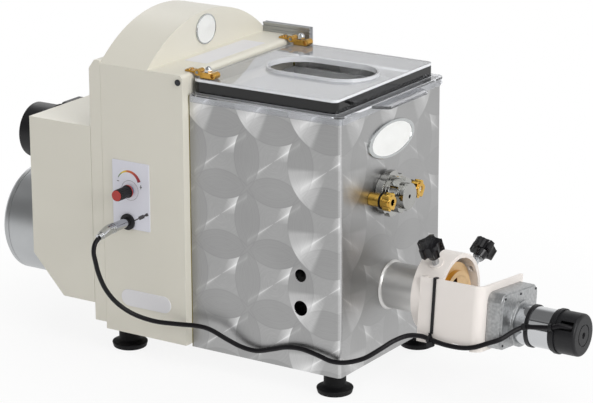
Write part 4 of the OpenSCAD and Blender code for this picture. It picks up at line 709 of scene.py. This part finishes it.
# six screws on the gear head, which leans as its bracket does; sizes in mm and degrees
screws = {"radius": 1.7, "taper": 0.8, "tall": 0.8, "land": 0.35, "wall": 0.1, "recess": 0.5, "face": 177.02,
          "roll": -6.0, "rollMiddle": (0.0, 91.9), "spots": [(y, z) for y in (-30.5, 8.5, 47.5) for z in (-44.0, 14.0)]}


def makeGearHeadScrews():
    bm = bmesh.new()
    lean = Matrix.Rotation(math.radians(screws["roll"]), 2)
    for spot in screws["spots"]:
        leaning = lean @ Vector(spot) + Vector(screws["rollMiddle"])
        one = bmesh.new()
        bmesh.ops.create_cone(one, cap_ends=True, segments=24, radius1=screws["radius"] * mm,
                              radius2=screws["radius"] * screws["taper"] * mm, depth=screws["tall"] * mm)
        bmesh.ops.translate(one, vec=(0, 0, screws["tall"] / 2 * mm), verts=one.verts)
        face = topFaces(one)
        bmesh.ops.inset_region(one, faces=face, thickness=screws["radius"] * screws["land"] * mm)
        bmesh.ops.inset_region(one, faces=face, thickness=screws["wall"] * mm, depth=-screws["recess"] * mm)
        seat(one, (screws["face"], *leaning), "front")
        join(bm, one)
    addPiece("gearHeadScrews", meshFrom(bm, "gearHeadScrews"), darkSteel, "root")


makeGearHeadScrews()
print("print and screws made")

# the nut's flange with a cup on it, whose face is open on one side, in mm along and about the auger
cup = {"axis": (0.0, 88.0), "back": 86.4, "step": 88.4, "front": 95.2, "flange": 43.5, "outer": 33.6, "inner": 27.0,
       "overlap": 0.4, "hole": 12.0, "face": 0.9, "from": -95.0, "sweep": 190.0, "facing": 0.7,
       "steps": 96, "faceSteps": 48}


def makeNutCup():
    bm = bmesh.new()
    profile = [(cup["inner"], cup["back"]), (cup["flange"], cup["back"]), (cup["flange"], cup["step"]),
               (cup["outer"], cup["step"]), (cup["outer"], cup["front"]), (cup["inner"], cup["front"])]
    points = [bm.verts.new((radius * mm, 0, (x - cup["front"]) * mm)) for radius, x in profile]
    lines = [bm.edges.new((a, b)) for a, b in zip(points, points[1:] + points[:1])]
    bmesh.ops.spin(bm, geom=points + lines, cent=(0, 0, 0), axis=(0, 0, 1), angle=2 * math.pi, steps=cup["steps"],
                   use_merge=True)
    bmesh.ops.remove_doubles(bm, verts=bm.verts, dist=weld)
    face = bmesh.new()
    rim = cup["inner"] + cup["overlap"]
    arcStrip(face, rim, rim - cup["hole"], cup["from"], cup["sweep"], cup["faceSteps"])
    thicken(face, -cup["face"])
    join(bm, face)
    seat(bm, (cup["front"], *cup["axis"]), "front")
    mesh = meshFrom(bm, "nutCup")
    addPiece("nutCup", mesh, turnedBrass, "root")
    mesh.materials.append(facedBronze)  # on the faces that look forward
    for polygon in mesh.polygons:
        if polygon.normal.x > cup["facing"]:
            polygon.material_index = 1


makeNutCup()

# the lock of the tie that holds the cord to the bracket, and the strap's end, in mm and degrees
tieHead = {"spot": (94.4, -64.0, 46.7), "half": (3.8, 2.8, 3.6), "edge": 1.0, "lean": -18.0,
           "strapSpot": (91.0, -59.8, 55.4), "strapHalf": (2.0, 0.6, 3.4)}


def makeTieHead():
    bm = bmesh.new()
    bmesh.ops.create_cube(bm, size=2.0)
    bmesh.ops.scale(bm, vec=[half * mm for half in tieHead["half"]], verts=bm.verts)
    bmesh.ops.bevel(bm, geom=bm.edges[:], offset=tieHead["edge"] * mm, segments=2, **smallBevel)
    turnBy(bm, bm.verts, tieHead["lean"], "Y")
    strap = bmesh.ops.create_cube(bm, size=2.0)["verts"]
    bmesh.ops.scale(bm, vec=[half * mm for half in tieHead["strapHalf"]], verts=strap)
    bmesh.ops.translate(bm, vec=place(*tieHead["strapSpot"]) - place(*tieHead["spot"]), verts=strap)
    seat(bm, tieHead["spot"], "top")
    addPiece("tieHead", meshFrom(bm, "tieHead"), blackPlastic, "root")


makeTieHead()
print("cup and tie made")

# the cutter's cord, from its plug along the machine's side to the motor's cap, in mm
cordLook = {"radius": 3.0, "steps": 6, "roundness": 5, "route": [
    (-305, -198, 149), (-305, -205, 144), (-305, -208, 134), (-304, -206, 121),
    (-303, -201, 103), (-300, -192, 82), (-292, -180, 62), (-277, -166, 46),
    (-254, -153, 37), (-225, -144, 36), (-198, -139, 37), (-180, -137, 35),
    (-160, -133, 26), (-140, -129, 18), (-118, -127, 16), (-96, -126, 22),
    (-74, -126, 29), (-52, -126, 31), (-28, -127, 28), (-8, -127, 24),
    (11, -123, 25), (30, -113, 31), (44, -98, 41), (54, -83, 49),
    (66, -70, 54), (80, -63, 54), (91, -62, 52), (112, -62, 49),
    (135, -61, 49), (152, -59.5, 52.5), (166, -53, 58), (179, -44, 63),
    (188, -28, 70), (196, -17, 74), (208, -17, 76), (220, -17, 78),
    (232, -17, 80), (242, -14, 83), (250, -10, 82), (256, -6, 80)]}


def smoothRoute(points, steps):  # the same curve through the points as the frame's cord follows
    line = []
    for i in range(len(points) - 1):
        a, b, c, d = (points[min(max(i + k, 0), len(points) - 1)] for k in (-1, 0, 1, 2))
        for step in range(steps):
            t = step / steps
            line.append(0.5 * (2 * b + (c - a) * t + (2 * a - 5 * b + 4 * c - d) * t * t
                               + (3 * b - a - 3 * c + d) * t ** 3))
    return line + [points[-1]]


def makeCord():
    line = smoothRoute([place(*p) for p in cordLook["route"]], cordLook["steps"])
    curve = bpy.data.curves.new("cutterCord", "CURVE")
    curve.dimensions = "3D"
    curve.bevel_depth = cordLook["radius"] * mm
    curve.bevel_resolution = cordLook["roundness"]
    curve.use_fill_caps = True
    spline = curve.splines.new("POLY")
    spline.points.add(len(line) - 1)
    for point, spot in zip(spline.points, line):
        point.co = (*spot, 1.0)
    spline.use_smooth = True
    curve.materials.append(cordSheath)
    cord = addObject("cutterCord", curve)
    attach(cord, "root")
    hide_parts("cutter_cord")


makeCord()

# the floor's white paper: half its side and where its shadow fades into white, in metres
floorLook = {"half": 14, "paper": (0.88, 0.88, 0.88, 1.0), "fade": (0.30, 0.64), "white": (0.88, 1.0)}
# What shiny metal sees: a white sweep all round, a dim ceiling over the soft boxes, and two dark sides, where the
# room behind the lamps is open and where the camera stands. Each side is its direction and where it begins.
roomLook = {"light": 0.44, "ceiling": (0.45, 0.8), "ceilingDim": 0.82, "darkest": 0.08,
            "openSide": ((-0.45, -0.82, 0.35), (0.80, 0.93)), "cameraSide": ((0.54, -0.80, 0.12), (0.86, 0.95))}
lamps = {"frontLamp": {"spot": (2.6, -0.9, 1.3), "size": 1.4, "power": 37},
         "sideLamp": {"spot": (-0.8, -2.6, 1.5), "size": 1.6, "power": 4},
         "topLamp": {"spot": (0.9, -0.2, 2.5), "size": 2.0, "power": 20},
         "backLamp": {"spot": (-2.2, 1.4, 1.4), "size": 1.2, "power": 8}}
lampAim = Vector((0, 0, 0.2))  # places in metres, power in watts
pureWhite = (1.0, 1.0, 1.0, 1.0)


def startBackdrop(owner):  # an empty node tree, and which rays see it as a plain white background
    owner.use_nodes = True
    tree = owner.node_tree
    tree.nodes.clear()
    add = partial(addNode, tree)
    path = add("LightPath").node.outputs
    seen = add("MAXIMUM", add("MAXIMUM", path["Is Camera Ray"], path["Is Glossy Ray"]), path["Is Transmission Ray"])
    return add, path, seen


def makeFloor():
    mesh = bpy.data.meshes.new("floor")
    bm = bmesh.new()
    bmesh.ops.create_grid(bm, x_segments=1, y_segments=1, size=floorLook["half"])
    bm.to_mesh(mesh)
    bm.free()
    floor = addObject("floor", mesh)
    material = bpy.data.materials.new("whitePaper")
    add, path, seen = startBackdrop(material)
    distance = add("VectorMath", add("TexCoord", pick="Object"), operation="LENGTH", pick="Value")
    fade = add("MapRange", distance, *floorLook["fade"], *floorLook["white"])
    paper = add("BsdfDiffuse", Color=floorLook["paper"])
    white = add("Emission", Color=pureWhite, Strength=1.0)
    add("OutputMaterial", add("MixShader", add("MULTIPLY", seen, fade), paper, white))
    mesh.materials.append(material)


def makeWorld():
    world = bpy.data.worlds.new("studioWorld")
    bpy.context.scene.world = world
    add, path, seen = startBackdrop(world)
    direction = add("TexCoord", pick="Generated")
    height = add("SeparateXYZ", direction).node.outputs["Z"]
    ceiling = add("MapRange", height, *roomLook["ceiling"], **smooth)
    sides = []
    for key in ("openSide", "cameraSide"):
        towards, begins = roomLook[key]
        facing = add("VectorMath", direction, Vector(towards).normalized(), operation="DOT_PRODUCT", pick="Value")
        sides.append(add("MapRange", facing, *begins, **smooth))
    dark = add("MAXIMUM", add("MULTIPLY", ceiling, roomLook["ceilingDim"]), add("MAXIMUM", *sides))
    mirrored = add("MULTIPLY", dark, path["Is Glossy Ray"])
    level = add("MULTIPLY", add("MapRange", seen, 0.0, 1.0, roomLook["light"], 1.0),
                add("MapRange", mirrored, 0.0, 1.0, 1.0, roomLook["darkest"]))
    add("OutputWorld", add("Background", Color=pureWhite, Strength=level))


def makeLamp(name, look):
    data = bpy.data.lights.new(name, "AREA")
    data.size = look["size"]
    data.energy = look["power"]
    spot = Vector(look["spot"])
    aim = (spot - lampAim).to_track_quat("Z", "Y").to_matrix().to_4x4()
    addObject(name, data).matrix_world = Matrix.Translation(spot) @ aim


makeFloor()
makeWorld()
for name, look in lamps.items():
    makeLamp(name, look)
bpy.context.scene.view_settings.view_transform = "Standard"
print("studio lit")
